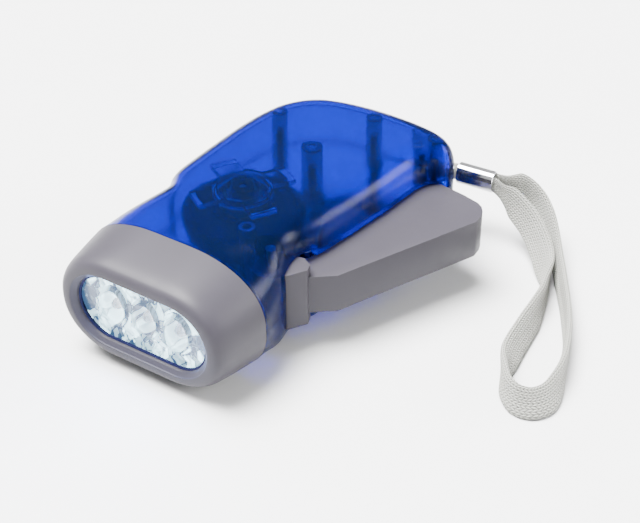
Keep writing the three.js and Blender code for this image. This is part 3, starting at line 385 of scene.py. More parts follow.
class SkyDesk(Desk):
    """A world being made: one Background shader and the nodes that feed it."""

    def __init__(self, world: bpy.types.World) -> None:
        """Takes over a world's nodes.

        Args:
            world: The world.
        """
        self.tree = world.node_tree
        self.shader = self.tree.nodes["Background"]


# Finishes


class Recipe(Protocol):
    """Anything that makes a material."""

    def material(self) -> Material:
        """Makes the material."""


@dataclass(frozen=True)
class GreyMoulding:
    """Satin grey plastic of the bezel and the lever."""

    name: str
    colour: Colour = (0.0345, 0.032, 0.040)
    shade: Colour = (0.031, 0.0285, 0.0355)
    roughness: float = 0.42
    roughness_spread: float = 0.12
    specular: float = 0.15
    patches_per_metre: float = 60.0
    patch_stops: Stops = ((0.3, 0.0), (0.7, 1.0))
    smudges_per_metre: float = 420.0
    grain_per_metre: float = 5200.0
    grain_height: float = 0.000012

    def material(self) -> Material:
        """Makes the finish.

        Returns:
            The material.
        """
        desk = Desk(self.name)
        place = desk.place()
        patches = desk.ramp(desk.noise(place, self.patches_per_metre, detail=3.0), self.patch_stops)
        desk.bump(desk.noise(place, self.grain_per_metre, detail=1.0), self.grain_height)
        smudges = desk.noise(place, self.smudges_per_metre)
        return desk.dress(
            Base_Color=desk.blend(patches, self.shade, self.colour),
            Roughness=smudges.about(self.roughness, self.roughness_spread),
            Specular_IOR_Level=self.specular,
        )


@dataclass(frozen=True)
class TintedCase:
    """See-through blue plastic of the case, which darkens light at its surface and by its thickness."""

    name: str
    colour: Colour = (0.012, 0.11, 0.62)
    deep: Colour = (0.01, 0.09, 0.56)
    roughness: float = 0.2
    clear_share: float = 0.985
    roughness_spread: float = 0.04
    passed_colour: Colour = (0.0, 0.4, 0.875)
    thickness_effect: float = 1000.0
    bending: float = 1.15
    clouds_per_metre: float = 45.0
    waves_per_metre: float = 180.0
    wave_height: float = 0.00004
    wave_strength: float = 0.5

    def material(self) -> Material:
        """Makes the finish.

        Returns:
            The material.
        """
        desk = Desk(self.name)
        place = desk.place()
        clouds = desk.noise(place, self.clouds_per_metre)
        waves = desk.noise(place, self.waves_per_metre, detail=1.0)
        desk.bump(waves, self.wave_height, self.wave_strength)
        desk.fill(self.passed_colour, self.thickness_effect)
        return desk.dress(
            Base_Color=desk.blend(clouds, self.deep, self.colour),
            Roughness=waves.about(self.roughness, self.roughness_spread),
            Transmission_Weight=self.clear_share,
            IOR=self.bending,
        )


@dataclass(frozen=True)
class ClearLens:
    """Clear moulded plastic of the front lens."""

    name: str
    colour: Colour = (0.97, 0.99, 1.0)
    roughness: float = 0.03
    roughness_spread: float = 0.02
    bending: float = 1.36
    flow_per_metre: float = 320.0
    flow_height: float = 0.00003
    flow_strength: float = 0.5

    def material(self) -> Material:
        """Makes the finish.

        Returns:
            The material.
        """
        desk = Desk(self.name)
        flow = desk.noise(desk.place(), self.flow_per_metre)
        desk.bump(flow, self.flow_height, self.flow_strength)
        return desk.dress(
            Base_Color=self.colour,
            Roughness=flow.about(self.roughness, self.roughness_spread),
            Transmission_Weight=1.0,
            IOR=self.bending,
        )


@dataclass(frozen=True)
class PaintedGlowMirror:
    """Faceted reflector with a painted glow that stands in for the LEDs' light, painted reflections of mixed
    brightness on the facets, and painted shade along their edges and in the cups.
    """

    name: str
    # Colours of the painted glow and of the painted shade.
    painted_glow_colour: Colour = (0.6, 0.9, 1.0)
    painted_shade_colour: Colour = (0.016, 0.035, 0.07)
    silver: Colour = (0.25, 0.3, 0.33)
    # Strength of the painted glow, which stands in for the LEDs' light.
    glow: float = 5.0
    metallic: float = 0.2
    specular: float = 0.1
    roughness: float = 0.25
    roughness_spread: float = 0.2
    twists_per_metre: float = 260.0
    twist_reach: float = 0.004
    facets_per_metre: float = 360.0
    facet_shape: Place = (1.35, 1.0, 0.75)
    facet_height: float = 0.0006
    facet_strength: float = 0.8
    broad_stops: Stops = ((0.4, 0.0), (0.65, 0.6), (0.95, 0.95))
    small_size: float = 1.7
    small_share: float = 0.5
    small_stops: Stops = ((0.6, 0.0), (0.8, 0.6), (1.0, 0.9))
    crease_shade_share: float = 0.5
    crease_stops: Stops = ((0.0, 1.0), (0.07, 0.0))
    cup_half: Flat = (0.0041, 0.0057)
    cup_shade_share: float = 0.9
    cup_stops: Stops = ((0.3, 0.0), (0.7, 0.1))
    cup_edge: float = 4.0
    pitches_left: float = 10.5

    def material(self) -> Material:
        """Makes the finish.

        Returns:
            The material.
        """
        desk = Desk(self.name)
        place = desk.place()
        twist = desk.noise(place, self.twists_per_metre, out=1)
        inputs = {0: twist, 1: (self.twist_reach,) * 3, 2: place}
        bent = desk.wire("ShaderNodeVectorMath", {"operation": "MULTIPLY_ADD"}, inputs)
        facets = desk.scaled(bent, self.facet_shape)
        tone = self._tone(desk, facets, self.facets_per_metre)
        fine = self._tone(desk, facets, self.facets_per_metre * self.small_size)
        edges = desk.cells(facets, self.facets_per_metre, "DISTANCE_TO_EDGE")
        # Painted shade: some facets darker than others, dark lines along the facets' edges, and dark cups
        # round the LEDs.
        dark = desk.ramp(tone, self.broad_stops) + desk.ramp(fine, self.small_stops) * self.small_share
        dark = dark + desk.ramp(edges, self.crease_stops) * self.crease_shade_share
        cups = self._cups(desk, place) * (desk.ramp(fine, self.cup_stops) + self.cup_shade_share)
        dark = (dark + cups).clipped()
        desk.bump(tone, self.facet_height, self.facet_strength)
        # The emission paints the glow: bright on the lit facets and dim in the painted shade, which also
        # darkens the base colour.
        return desk.dress(
            Base_Color=desk.blend(dark, self.silver, self.painted_shade_colour),
            Metallic=self.metallic,
            Specular_IOR_Level=self.specular,
            Roughness=tone.about(self.roughness, self.roughness_spread),
            Emission_Color=desk.blend(dark, self.painted_glow_colour, self.painted_shade_colour),
            Emission_Strength=self.glow,
        )

    def _tone(self, desk: Desk, place: Wire, per_metre: float) -> Wire:
        """One brightness for each facet, between 0 and 1."""
        return desk.wire("ShaderNodeSeparateColor", {}, {0: desk.cells(place, per_metre, out=1)})

    def _cups(self, desk: Desk, place: Wire) -> Wire:
        """Where the cups round the LEDs lie.

        Args:
            desk: The material's desk.
            place: The point on the piece.

        Returns:
            1 inside the cups and 0 outside them.
        """
        middle = torch_place().translation
        pitch = LAYOUT.led_pitch * MM
        x, _, z = desk.split(place)
        nearest = ((x - middle.x) / pitch + self.pitches_left).rest() - 0.5
        across, up = nearest * (pitch / self.cup_half[0]), (z - middle.z) / self.cup_half[1]
        return ((1.0 - across * across - up * up) * self.cup_edge).clipped()


@dataclass(frozen=True)
class LitLed:
    """Clear LED body, switched on, with streaks of light in it."""

    name: str
    body: Colour = (0.06, 0.09, 0.13)
    colour: Colour = (0.5, 0.76, 1.0)
    shade: Colour = (0.03, 0.05, 0.09)
    strength: float = 1.1
    roughness: float = 0.3
    specular: float = 0.12
    streaks_per_metre: float = 700.0
    streak_shape: Place = (1.4, 0.3, 0.5)
    streak_stops: Stops = ((0.38, 0.0), (0.62, 1.0))

    def material(self) -> Material:
        """Makes the finish.

        Returns:
            The material.
        """
        desk = Desk(self.name)
        streaks = desk.noise(desk.scaled(desk.place(), self.streak_shape), self.streaks_per_metre, detail=3.0)
        share = desk.ramp(streaks, self.streak_stops)
        return desk.dress(
            Base_Color=self.body,
            Roughness=self.roughness,
            Specular_IOR_Level=self.specular,
            Emission_Color=desk.blend(share, self.shade, self.colour),
            Emission_Strength=self.strength,
        )


@dataclass(frozen=True)
class Metal:
    """Worked metal: fine turning or rolling marks, with a slight stain."""

    name: str
    colour: Colour
    stain: Colour
    roughness: float = 0.3
    marks_per_metre: float = 1800.0
    marks_height: float = 0.000006
    marks_shape: Place = (1.0, 0.12, 1.0)
    roughness_spread: float = 0.16
    stains_per_metre: float = 220.0
    stain_stops: Stops = ((0.42, 0.0), (0.72, 1.0))
    stain_share: float = 0.6
    stain_roughness: float = 0.1

    def material(self) -> Material:
        """Makes the finish.

        Returns:
            The material.
        """
        desk = Desk(self.name)
        place = desk.place()
        marks = desk.noise(desk.scaled(place, self.marks_shape), self.marks_per_metre, detail=3.0)
        stain = desk.ramp(desk.noise(place, self.stains_per_metre, detail=3.0), self.stain_stops)
        desk.bump(marks, self.marks_height)
        return desk.dress(
            Base_Color=desk.blend(stain * self.stain_share, self.colour, self.stain),
            Metallic=1.0,
            Roughness=marks.about(self.roughness, self.roughness_spread) + stain * self.stain_roughness,
        )


@dataclass(frozen=True)
class Moulded:
    """Plain solid moulding, such as nylon gears, a board or a wire's sheath."""

    name: str
    colour: Colour
    shade: Colour
    roughness: float = 0.5
    specular: float = 0.5
    roughness_spread: float = 0.1
    speckles_per_metre: float = 900.0
    speckle_height: float = 0.00001

    def material(self) -> Material:
        """Makes the finish.

        Returns:
            The material.
        """
        desk = Desk(self.name)
        speckle = desk.noise(desk.place(), self.speckles_per_metre, detail=3.0)
        desk.bump(speckle, self.speckle_height)
        return desk.dress(
            Base_Color=desk.blend(speckle, self.shade, self.colour),
            Roughness=speckle.about(self.roughness, self.roughness_spread),
            Specular_IOR_Level=self.specular,
        )


@dataclass(frozen=True)
class Windings:
    """Enamelled copper wire wound in fine turns, with painted shade in the grooves between them."""

    name: str
    colour: Colour = (0.62, 0.24, 0.09)
    # The colour of the painted shade between the turns.
    groove: Colour = (0.2, 0.06, 0.02)
    metallic: float = 0.9
    roughness: float = 0.3
    turns_per_metre: float = 4200.0
    turn_height: float = 0.00006

    def material(self) -> Material:
        """Makes the finish.

        Returns:
            The material.
        """
        desk = Desk(self.name)
        ridge = (desk.split(desk.place())[2] * (self.turns_per_metre * math.pi)).sine().size()
        desk.bump(ridge, self.turn_height)
        return desk.dress(
            # The grooves between the turns are painted darker, as shade.
            Base_Color=desk.blend(ridge, self.groove, self.colour),
            Metallic=self.metallic,
            Roughness=self.roughness,
        )


@dataclass(frozen=True)
class BraidedCord:
    """Pale grey flat braid: rows of slanting stitches that lean alternately left and right, with painted
    shade in the grooves between them.

    The pattern follows the cord's own map: u runs once round it, v along it.
    """

    name: str
    length: float
    columns: int
    stitch: float = 0.00105
    slant: float = 0.9
    stitch_roundness: float = 0.6
    column_roundness: float = 0.5
    braid_height: float = 0.0005
    groove_shade_stops: Stops = ((0.1, 0.0), (0.62, 1.0))
    colour: Colour = (0.32, 0.323, 0.285)
    # The colour of the painted shade in the braid's grooves.
    shade: Colour = (0.045, 0.044, 0.038)
    worn: Colour = (0.27, 0.27, 0.248)
    worn_share: float = 0.3
    worn_per_metre: float = 90.0
    fuzz_per_metre: float = 3200.0
    fuzz_share: float = 0.25
    roughness: float = 0.85
    sheen: float = 0.25

    def material(self) -> Material:
        """Makes the finish.

        Returns:
            The material.
        """
        desk = Desk(self.name)
        place = desk.place()
        u, v, _ = desk.split(desk.wire("ShaderNodeUVMap", {"uv_map": "cord"}, {}))
        across, along = u * float(self.columns), v * (self.length / self.stitch)
        inside = across.rest()
        slant = ((across * 0.5).rest() - 0.5).sign() * (inside - 0.5) * self.slant
        stitch, column = ((along + slant) * math.pi).sine().size(), (inside * math.pi).sine()
        height = (stitch**self.stitch_roundness) * (column**self.column_roundness)
        desk.bump(height + desk.noise(place, self.fuzz_per_metre) * self.fuzz_share, self.braid_height)
        worn = desk.blend(desk.noise(place, self.worn_per_metre) * self.worn_share, self.colour, self.worn)
        return desk.dress(
            # The braid's grooves are painted darker, as shade; the worn patches are the cord's own colour.
            Base_Color=desk.blend(desk.ramp(height, self.groove_shade_stops), self.shade, worn),
            Roughness=self.roughness,
            Sheen_Weight=self.sheen,
        )


def made(recipe: Recipe) -> Material:
    """A field whose value is the recipe's material, made together with the object that holds it."""
    return field(default_factory=recipe.material)


@dataclass(frozen=True)
class Finishes:
    """All the torch's finishes, made once."""

    grey: Material = made(GreyMoulding("grey_moulding"))
    blue: Material = made(TintedCase("tinted_case"))
    frosted: Material = made(
        TintedCase("frosted_edge", (0.01, 0.12, 0.7), (0.008, 0.1, 0.6), roughness=0.5, clear_share=0.35)
    )
    post_end: Material = made(
        Moulded("post_end", (0.05, 0.01, 0.12), (0.03, 0.006, 0.08), roughness=0.6, specular=0.08)
    )
    # A near-black ring round the lens that paints the shade on the opening's inner wall.
    shadow_ring: Material = made(
        Moulded("shadow_ring", (0.008, 0.01, 0.05), (0.005, 0.006, 0.03), roughness=0.6, specular=0.08)
    )
    bronze: Material = made(
        Metal("oiled_bronze", (0.02, 0.014, 0.01), (0.01, 0.008, 0.006), roughness=0.5)
    )
    lens: Material = made(ClearLens("clear_lens"))
    # The reflector's finish: a painted glow, with painted shade in its cups and along its facets' edges.
    painted_glow_mirror: Material = made(PaintedGlowMirror("mirror_painted_glow"))
    led: Material = made(LitLed("lit_led"))
    steel: Material = made(Metal("plain_steel", (0.36, 0.37, 0.39), (0.2, 0.2, 0.21)))
    dark_steel: Material = made(
        Metal("dark_steel", (0.034, 0.034, 0.042), (0.02, 0.02, 0.024), roughness=0.5)
    )
    brass: Material = made(Metal("brass", (0.52, 0.38, 0.17), (0.3, 0.2, 0.08)))
    chrome: Material = made(
        Metal(
            "chrome",
            (0.80, 0.81, 0.84),
            (0.62, 0.62, 0.65),
            roughness=0.12,
            marks_per_metre=900.0,
            marks_height=0.000002,
        )
    )
    nylon: Material = made(Moulded("nylon", (0.11, 0.11, 0.12), (0.08, 0.08, 0.088)))
    ferrite: Material = made(
        Moulded("ferrite", (0.02, 0.02, 0.022), (0.008, 0.008, 0.008), roughness=0.7)
    )
    board: Material = made(Moulded("board", (0.02, 0.11, 0.05), (0.012, 0.08, 0.035), roughness=0.4))
    copper: Material = made(Windings("copper_windings"))
    red: Material = made(
        Moulded("red_sheath", (0.42, 0.02, 0.02), (0.3, 0.012, 0.012), roughness=0.4)
    )
    black: Material = made(
        Moulded("black_sheath", (0.012, 0.012, 0.013), (0.006, 0.006, 0.006), roughness=0.4)
    )


# Curves and modelling moves


class SmoothLine:
    """A centripetal Catmull-Rom curve through points."""

    steps_per_span = 24
    shortest_step = 1e-9

    def __init__(self, points: Sequence[Sequence[float]], closed: bool = False) -> None:
        """Keeps the points.

        Args:
            points: What the curve passes through.
            closed: Whether the last point joins the first.
        """
        self.points = [Vector(p) for p in points]
        self.closed = closed

    def _four(self, index: int) -> list[Vector]:
        """The points round one span.

        Args:
            index: The span.

        Returns:
            The point before it, its two ends and the point after it.
        """
        points, count = self.points, len(self.points)
        if self.closed:
            return [points[(index + k) % count] for k in (-1, 0, 1, 2)]
        before = points[index - 1] if index > 0 else points[0] * 2 - points[1]
        after = points[index + 2] if index + 2 < count else points[-1] * 2 - points[-2]
        return [before, points[index], points[index + 1], after]

    def at(self, share: float) -> Vector:
        """A point on the curve.

        Args:
            share: Place along the spans, 0 to 1.

        Returns:
            The point.
        """
        spans = len(self.points) - (0 if self.closed else 1)
        index = min(int(share * spans), spans - 1)
        w = share * spans - index
        a, b, c, d = self._four(index)
        middle = math.sqrt((c - b).length) or 1.0
        first = math.sqrt((b - a).length) or middle
        last = math.sqrt((d - c).length) or middle
        leave = ((b - a) / first - (c - a) / (first + middle) + (c - b) / middle) * middle
        arrive = ((c - b) / middle - (d - b) / (middle + last) + (d - c) / last) * middle
        bend = (c - b) * 3 - leave * 2 - arrive
        twist = (b - c) * 2 + leave + arrive
        return b + leave * w + bend * w**2 + twist * w**3

    def evenly(self, count: int) -> list[float]:
        """Shares of the curve at equal distances along it.

        Args:
            count: How many steps.

        Returns:
            count shares for a closed curve, and count + 1 for an open one.
        """
        fine = len(self.points) * self.steps_per_span
        marks = [self.at(i / fine) for i in range(fine + 1)]
        run = [0.0]
        for a, b in zip(marks, marks[1:]):
            run.append(run[-1] + (b - a).length)
        shares, k = [], 0
        for i in range(count if self.closed else count + 1):
            goal = run[-1] * i / count
            while k < fine - 1 and run[k + 1] < goal:
                k += 1
            part = (goal - run[k]) / max(run[k + 1] - run[k], self.shortest_step)
            shares.append(min((k + part) / fine, 1.0))
        return shares


def length_of(points: Sequence[Vector]) -> float:
    """The length of the line through some points."""
    return sum((b - a).length for a, b in zip(points, points[1:]))


def left_of(centre: Flat, distance: float, degrees: float) -> Flat:
    """The point at a distance from a centre, turned from +y towards -x.

    Args:
        centre: The centre.
        distance: How far.
        degrees: How much it is turned.

    Returns:
        The point.
    """
    angle = math.radians(degrees)
    return centre[0] - distance * math.sin(angle), centre[1] + distance * math.cos(angle)


def angles_round(count: int, start: float = 0.0) -> list[float]:
    """Even angles once round, in radians, from a start that is given in steps."""
    return [2 * math.pi * (i + start) / count for i in range(count)]


def flattened(value: float, power: float) -> float:
    """A sine or cosine raised to a power with its sign kept, which squares a circle up."""
    return math.copysign(abs(value) ** power, value)


def eased(share: float) -> float:
    """A share from 0 to 1 that starts and ends gently."""
    return share * share * (3 - 2 * share)


class Bench:
    """The modelling moves that the pieces share, in the torch's own millimetres."""

    merge_distance = 1e-4
    sharp_from = 32.0
    rounding_steps = 3

    @staticmethod
    def clear() -> None:
        """Leaves edit mode and deselects everything."""
        if bpy.context.object and bpy.context.object.mode != "OBJECT":
            bpy.ops.object.mode_set(mode="OBJECT")
        bpy.ops.object.select_all(action="DESELECT")

    @staticmethod
    def pick(*pieces: Piece) -> None:
        """Selects pieces alone, and makes the first one active.

        Args:
            pieces: The pieces.
        """
        Bench.clear()
        for piece in pieces:
            piece.select_set(True)
        bpy.context.view_layer.objects.active = pieces[0]

    @staticmethod
    def fresh(name: str) -> Piece:
        """Names the piece that the last operator made.

        Args:
            name: Its name.

        Returns:
            The piece.
        """
        piece = bpy.context.object
        piece.name = piece.data.name = name
        return piece

    @staticmethod
    def mend(piece: Piece, close: bool) -> None:
        """Merges doubles, closes open ends and points the faces outwards.

        Args:
            piece: The piece.
            close: Whether open ends are filled.
        """
        Bench.pick(piece)
        bpy.ops.object.mode_set(mode="EDIT")
        bpy.ops.mesh.select_all(action="SELECT")
        bpy.ops.mesh.remove_doubles(threshold=Bench.merge_distance)
        if close:
            bpy.ops.mesh.select_all(action="SELECT")
            bpy.ops.mesh.fill_holes(sides=0)
        bpy.ops.mesh.select_all(action="SELECT")
        bpy.ops.mesh.normals_make_consistent(inside=False)
        bpy.ops.object.mode_set(mode="OBJECT")

    @staticmethod
    def rolled(name: str, rings: Sequence[Ring], looped: bool = False) -> Piece:
        """Rolls a grid into a closed form through rings of equal length.

        Args:
            name: The piece's name.
            rings: The rings, in order.
            looped: Whether the last ring joins the first, in place of flat ends.

        Returns:
            The piece.
        """
        rows = [*rings, rings[0]] if looped else list(rings)
        Bench.clear()
        bpy.ops.mesh.primitive_grid_add(x_subdivisions=len(rows[0]), y_subdivisions=len(rows) - 1, size=2)
        piece = Bench.fresh(name)
        flat = [value for row in rows for point in (*row, row[0]) for value in point]
        piece.data.vertices.foreach_set("co", flat)
        piece.data.update()
        Bench.mend(piece, close=not looped)
        return piece

    @staticmethod
    def turned(name: str, profile: Sequence[Flat], at: Flat, sides: int = 96) -> Piece:
        """Turns a profile about an upright axis.

        Args:
            name: The piece's name.
            profile: Radius and height of each step.
            at: The axis.
            sides: How many sides it has.

        Returns:
            The piece.
        """
        turns = angles_round(sides)
        rings = [
            [Vector((at[0] + r * math.cos(t), at[1] + r * math.sin(t), z)) for t in turns] for r, z in profile
        ]
        return Bench.rolled(name, rings, looped=profile[0][0] > 0 and profile[0] == profile[-1])

    @staticmethod
    def tube(name: str, radii: Flat, ends: Flat, at: Flat, sides: int = 96) -> Piece:
        """An upright tube.

        Args:
            name: The piece's name.
            radii: Its inner and its outer radius.
            ends: Its lower and its upper end.
            at: Its axis.
            sides: How many sides it has.

        Returns:
            The piece.
        """
        (inner, outer), (low, high) = radii, ends
        profile = [(inner, low), (outer, low), (outer, high), (inner, high), (inner, low)]
        return Bench.turned(name, profile, at, sides)

    @staticmethod
    def slab(name: str, outline: Sequence[Flat], low: float, high: float) -> Piece:
        """Extrudes a flat outline.

        Args:
            name: The piece's name.
            outline: The outline, counter-clockwise.
            low: Its lower height.
            high: Its upper height.

        Returns:
            The piece.
        """
        Bench.clear()
        bpy.ops.mesh.primitive_circle_add(vertices=len(outline), fill_type="NGON")
        piece = Bench.fresh(name)
        for vertex, (x, y) in zip(piece.data.vertices, outline):
            vertex.co = (x, y, low)
        bpy.ops.object.mode_set(mode="EDIT")
        bpy.ops.mesh.select_all(action="SELECT")
        bpy.ops.mesh.extrude_region_move(TRANSFORM_OT_translate={"value": (0, 0, high - low)})
        bpy.ops.mesh.select_all(action="SELECT")
        bpy.ops.mesh.normals_make_consistent(inside=False)
        bpy.ops.object.mode_set(mode="OBJECT")
        return piece

    @staticmethod
    def rod(name: str, radius: float, low: float, high: float, at: Flat, sides: int = 64) -> Piece:
        """An upright rod.

        Args:
            name: The piece's name.
            radius: Its radius.
            low: Its lower end.
            high: Its upper end.
            at: Its axis.
            sides: How many sides it has.

        Returns:
            The piece.
        """
        Bench.clear()
        middle = (*at, (low + high) / 2)
        bpy.ops.mesh.primitive_cylinder_add(vertices=sides, radius=radius, depth=high - low, location=middle)
        piece = Bench.fresh(name)
        bpy.ops.object.transform_apply(location=True, rotation=True, scale=True)
        return piece

    @staticmethod
    def block(name: str, low: Place, high: Place) -> Piece:
        """A box between two corners.

        Args:
            name: The piece's name.
            low: Its lowest corner.
            high: Its highest corner.

        Returns:
            The piece.
        """
        Bench.clear()
        middle = [(a + b) / 2 for a, b in zip(low, high)]
        bpy.ops.mesh.primitive_cube_add(size=1, location=middle, scale=[b - a for a, b in zip(low, high)])
        piece = Bench.fresh(name)
        bpy.ops.object.transform_apply(location=True, rotation=True, scale=True)
        return piece

    @staticmethod
    def change(piece: Piece, kind: str, **settings: object) -> None:
        """Adds a modifier to a piece and applies it.

        Args:
            piece: The piece.
            kind: The modifier's type.
            settings: Its properties.
        """
        step = piece.modifiers.new("step", kind)
        for name, value in settings.items():
            setattr(step, name, value)
        Bench.pick(piece)
        bpy.ops.object.modifier_apply(modifier=step.name)

    @staticmethod
    def work(piece: Piece, how: Cut, *tools: Piece) -> Piece:
        """Cuts, joins or trims a piece with tools, which are used up.

        Args:
            piece: The piece.
            how: What the tools do.
            tools: The tools.

        Returns:
            The piece.
        """
        for tool in tools:
            Bench.change(piece, "BOOLEAN", operation=how.value, object=tool, solver="EXACT")
            bpy.data.objects.remove(tool)
        return piece

    @staticmethod
    def gathered(name: str, pieces: Sequence[Piece]) -> Piece:
        """Makes several separate solids one object.

        Args:
            name: Its name.
            pieces: The solids.

        Returns:
            The object.
        """
        Bench.pick(*pieces)
        bpy.ops.object.join()
        return Bench.fresh(name)

    @staticmethod
    def softened(piece: Piece, width: float) -> None:
        """Rounds a piece's sharp edges.

        Args:
            piece: The piece.
            width: Width of the rounding.
        """
        sharp, steps = math.radians(Bench.sharp_from), Bench.rounding_steps
        Bench.change(piece, "BEVEL", width=width, segments=steps, limit_method="ANGLE", angle_limit=sharp)


@dataclass
class Fitting:
    """How a finished piece is settled: the body that it rides on, the CAD nodes that it hides, its finish and
    its smoothing.
    """

    body: str
    slot: str
    replaces: tuple[str, ...]
    material: Material
    smooth: float

    def settle(self, piece: Piece) -> None:
        """Args:
            piece: The piece, in millimetres.
        """
        piece.data.transform(torch_place())
        piece.data.update()
        piece.data.materials.clear()
        piece.data.materials.append(self.material)
        Bench.pick(piece)
        bpy.ops.object.shade_smooth_by_angle(angle=math.radians(self.smooth))
        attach(piece, self.body)
        if self.replaces:
            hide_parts(*self.replaces)
        LOG.info("%s: %d faces", piece.name, len(piece.data.polygons))


# The case


@dataclass
class Section:
    """A section across the head: straight half lengths with rounded ends."""

    straight_x: float
    straight_z: float
    round_x: float
    round_z: float
    power: float

    def values(self) -> list[float]:
        """Its five sizes, in order."""
        return [self.straight_x, self.straight_z, self.round_x, self.round_z, self.power]

    def towards(self, other: "Section", share: float) -> "Section":
        """A section between this one and another: 0 for this one, 1 for the other."""
        return Section(*[a + (b - a) * share for a, b in zip(self.values(), other.values())])

    def drawn_in(self, by: float) -> "Section":
        """The section with its round part smaller all round."""
        return Section(self.straight_x, self.straight_z, self.round_x - by, self.round_z - by, self.power)

    def ring(self, y: float, count: int) -> Ring:
        """The section as points at a distance from the front.

        Args:
            y: The distance.
            count: How many points.

        Returns:
            The points.
        """
        points = []
        for angle in angles_round(count, start=0.5):
            c, s = math.cos(angle), math.sin(angle)
            x = math.copysign(self.straight_x + self.round_x * abs(c) ** self.power, c)
            z = math.copysign(self.straight_z + self.round_z * abs(s) ** self.power, s)
            points.append(Vector((x, y, z)))
        return points


@dataclass
class Body:
    """The case's outer form, which the shells, the bezel and the posts share.

    Each row of the outline is a point, as shares of the half width and of the length, and the reach and
    drop of the rounded edge there, as shares of the half thickness.
    """

    length: float = 103.6
    half_width: float = 28.5
    half_thickness: float = 17.4
    wall: float = 2.0
    collar: float = 15.0
    seam: float = 0.2
    exponent: float = 2.3
    edge_share: float = 1.38
    drop_share: float = 0.97
    around: int = 200
    edge_steps: int = 12
    spine: tuple[Flat, Flat] = ((0.0, 0.06), (0.21, 0.81))
    outline: tuple[tuple[float, float, float, float], ...] = (
        (0.6, -0.21, 0.6, 0.9),
        (0.93, -0.08, 1.2, 0.97),
        (1.003, 0.06, 1.38, 0.97),
        (1.0, 0.145, 1.38, 0.97),
        (0.986, 0.193, 1.1, 0.97),
        (0.947, 0.237, 0.76, 0.82),
        (0.884, 0.28, 0.55, 0.66),
        (0.839, 0.319, 0.47, 0.59),
        (0.839, 0.352, 0.46, 0.58),
        (0.877, 0.386, 0.46, 0.58),
        (0.916, 0.425, 0.46, 0.58),
        (0.961, 0.502, 0.46, 0.58),
        (1.014, 0.604, 0.46, 0.58),
        (1.053, 0.685, 0.46, 0.58),
        (1.077, 0.763, 0.46, 0.58),
        (1.098, 0.811, 0.44, 0.57),
        (1.144, 0.845, 0.4, 0.55),
        (1.221, 0.869, 0.35, 0.52),
        (1.277, 0.898, 0.34, 0.52),
        (1.27, 0.923, 0.34, 0.52),
        (1.2, 0.946, 0.36, 0.53),
        (1.088, 0.964, 0.4, 0.56),
        (0.912, 0.981, 0.45, 0.58),
        (0.702, 0.992, 0.46, 0.58),
        (0.456, 0.999, 0.46, 0.58),
        (0.21, 0.999, 0.46, 0.58),
        (-0.035, 0.99, 0.46, 0.58),
        (-0.246, 0.974, 0.46, 0.58),
        (-0.439, 0.948, 0.46, 0.58),
        (-0.596, 0.907, 0.46, 0.58),
        (-0.709, 0.854, 0.46, 0.58),
        (-0.772, 0.792, 0.46, 0.58),
        (-0.807, 0.724, 0.46, 0.58),
        (-0.821, 0.656, 0.46, 0.58),
        (-0.825, 0.56, 0.46, 0.58),
        (-0.825, 0.483, 0.46, 0.58),
        (-0.818, 0.43, 0.46, 0.58),
        (-0.793, 0.401, 0.46, 0.58),
        (-0.744, 0.376, 0.46, 0.58),
        (-0.726, 0.355, 0.47, 0.59),
        (-0.747, 0.323, 0.52, 0.62),
        (-0.804, 0.285, 0.63, 0.72),
        (-0.891, 0.237, 0.86, 0.86),
        (-0.965, 0.188, 1.15, 0.97),
        (-1.0, 0.145, 1.38, 0.97),
        (-1.003, 0.06, 1.38, 0.97),
        (-0.93, -0.08, 1.2, 0.97),
        (-0.6, -0.21, 0.6, 0.9),
        (0, -0.24, 0.5, 0.9),
    )
    flat_shares: tuple[float, ...] = (0.06, 0.35, 0.7)

    def __post_init__(self) -> None:
        """Walks once round the outline."""
        plan = [(*self.place(x, y), 0.0) for x, y, _, _ in self.outline]
        reach = [(a * self.half_thickness, d * self.half_thickness, 0.0) for _, _, a, d in self.outline]
        line, edge = SmoothLine(plan, closed=True), SmoothLine(reach, closed=True)
        low, high = [Vector((*self.place(x, y), 0.0)) for x, y in self.spine]
        self.marks: list[tuple[Vector, Vector, float, float, float]] = []
        for share in line.evenly(self.around):
            at, sizes = line.at(share), edge.at(share)
            along = (at - low).dot(high - low) / (high - low).length_squared
            foot = low.lerp(high, min(max(along, 0.0), 1.0))
            inwards = foot - at
            self.marks.append((at, inwards.normalized(), inwards.length, sizes.x, sizes.y))

    @property
    def head(self) -> Section:
        """The section where the bezel meets the case.

        Returns:
            The section.
        """
        reach, drop = self.edge_share * self.half_thickness, self.drop_share * self.half_thickness
        straight = self.half_width - reach, self.half_thickness - drop
        return Section(*straight, reach, drop, 2 / self.exponent)

    @property
    def ceiling(self) -> float:
        """How far the walls' inner faces are from the parting plane."""
        return self.half_thickness - self.wall

    def place(self, x: float, y: float) -> Flat:
        """A place from its shares of the half width and of the length."""
        return x * self.half_width, y * self.length

    def _ring(self, inset: float, degrees: float, side: Side, inner: float = 0.0) -> Ring:
        """One ring of the rounded form.

        Args:
            inset: How far the form is drawn in.
            degrees: Place on the rounded edge, 0 at the side and 90 at the flat.
            side: Whether it is on the upper or the lower edge.
            inner: Share of the flat's width that the ring is drawn towards the spine.

        Returns:
            The ring.
        """
        power = 2 / self.exponent
        c, s = math.cos(math.radians(degrees)), math.sin(math.radians(degrees))
        ring = []
        for at, inwards, room, reach, drop in self.marks:
            run = inset + (reach - inset) * (1 - max(c, 0.0) ** power)
            run += (room - run) * inner
            height = self.half_thickness - drop + (drop - inset) * s**power
            spot = at + inwards * run
            ring.append(Vector((spot.x, spot.y, side.value * height)))
        return ring

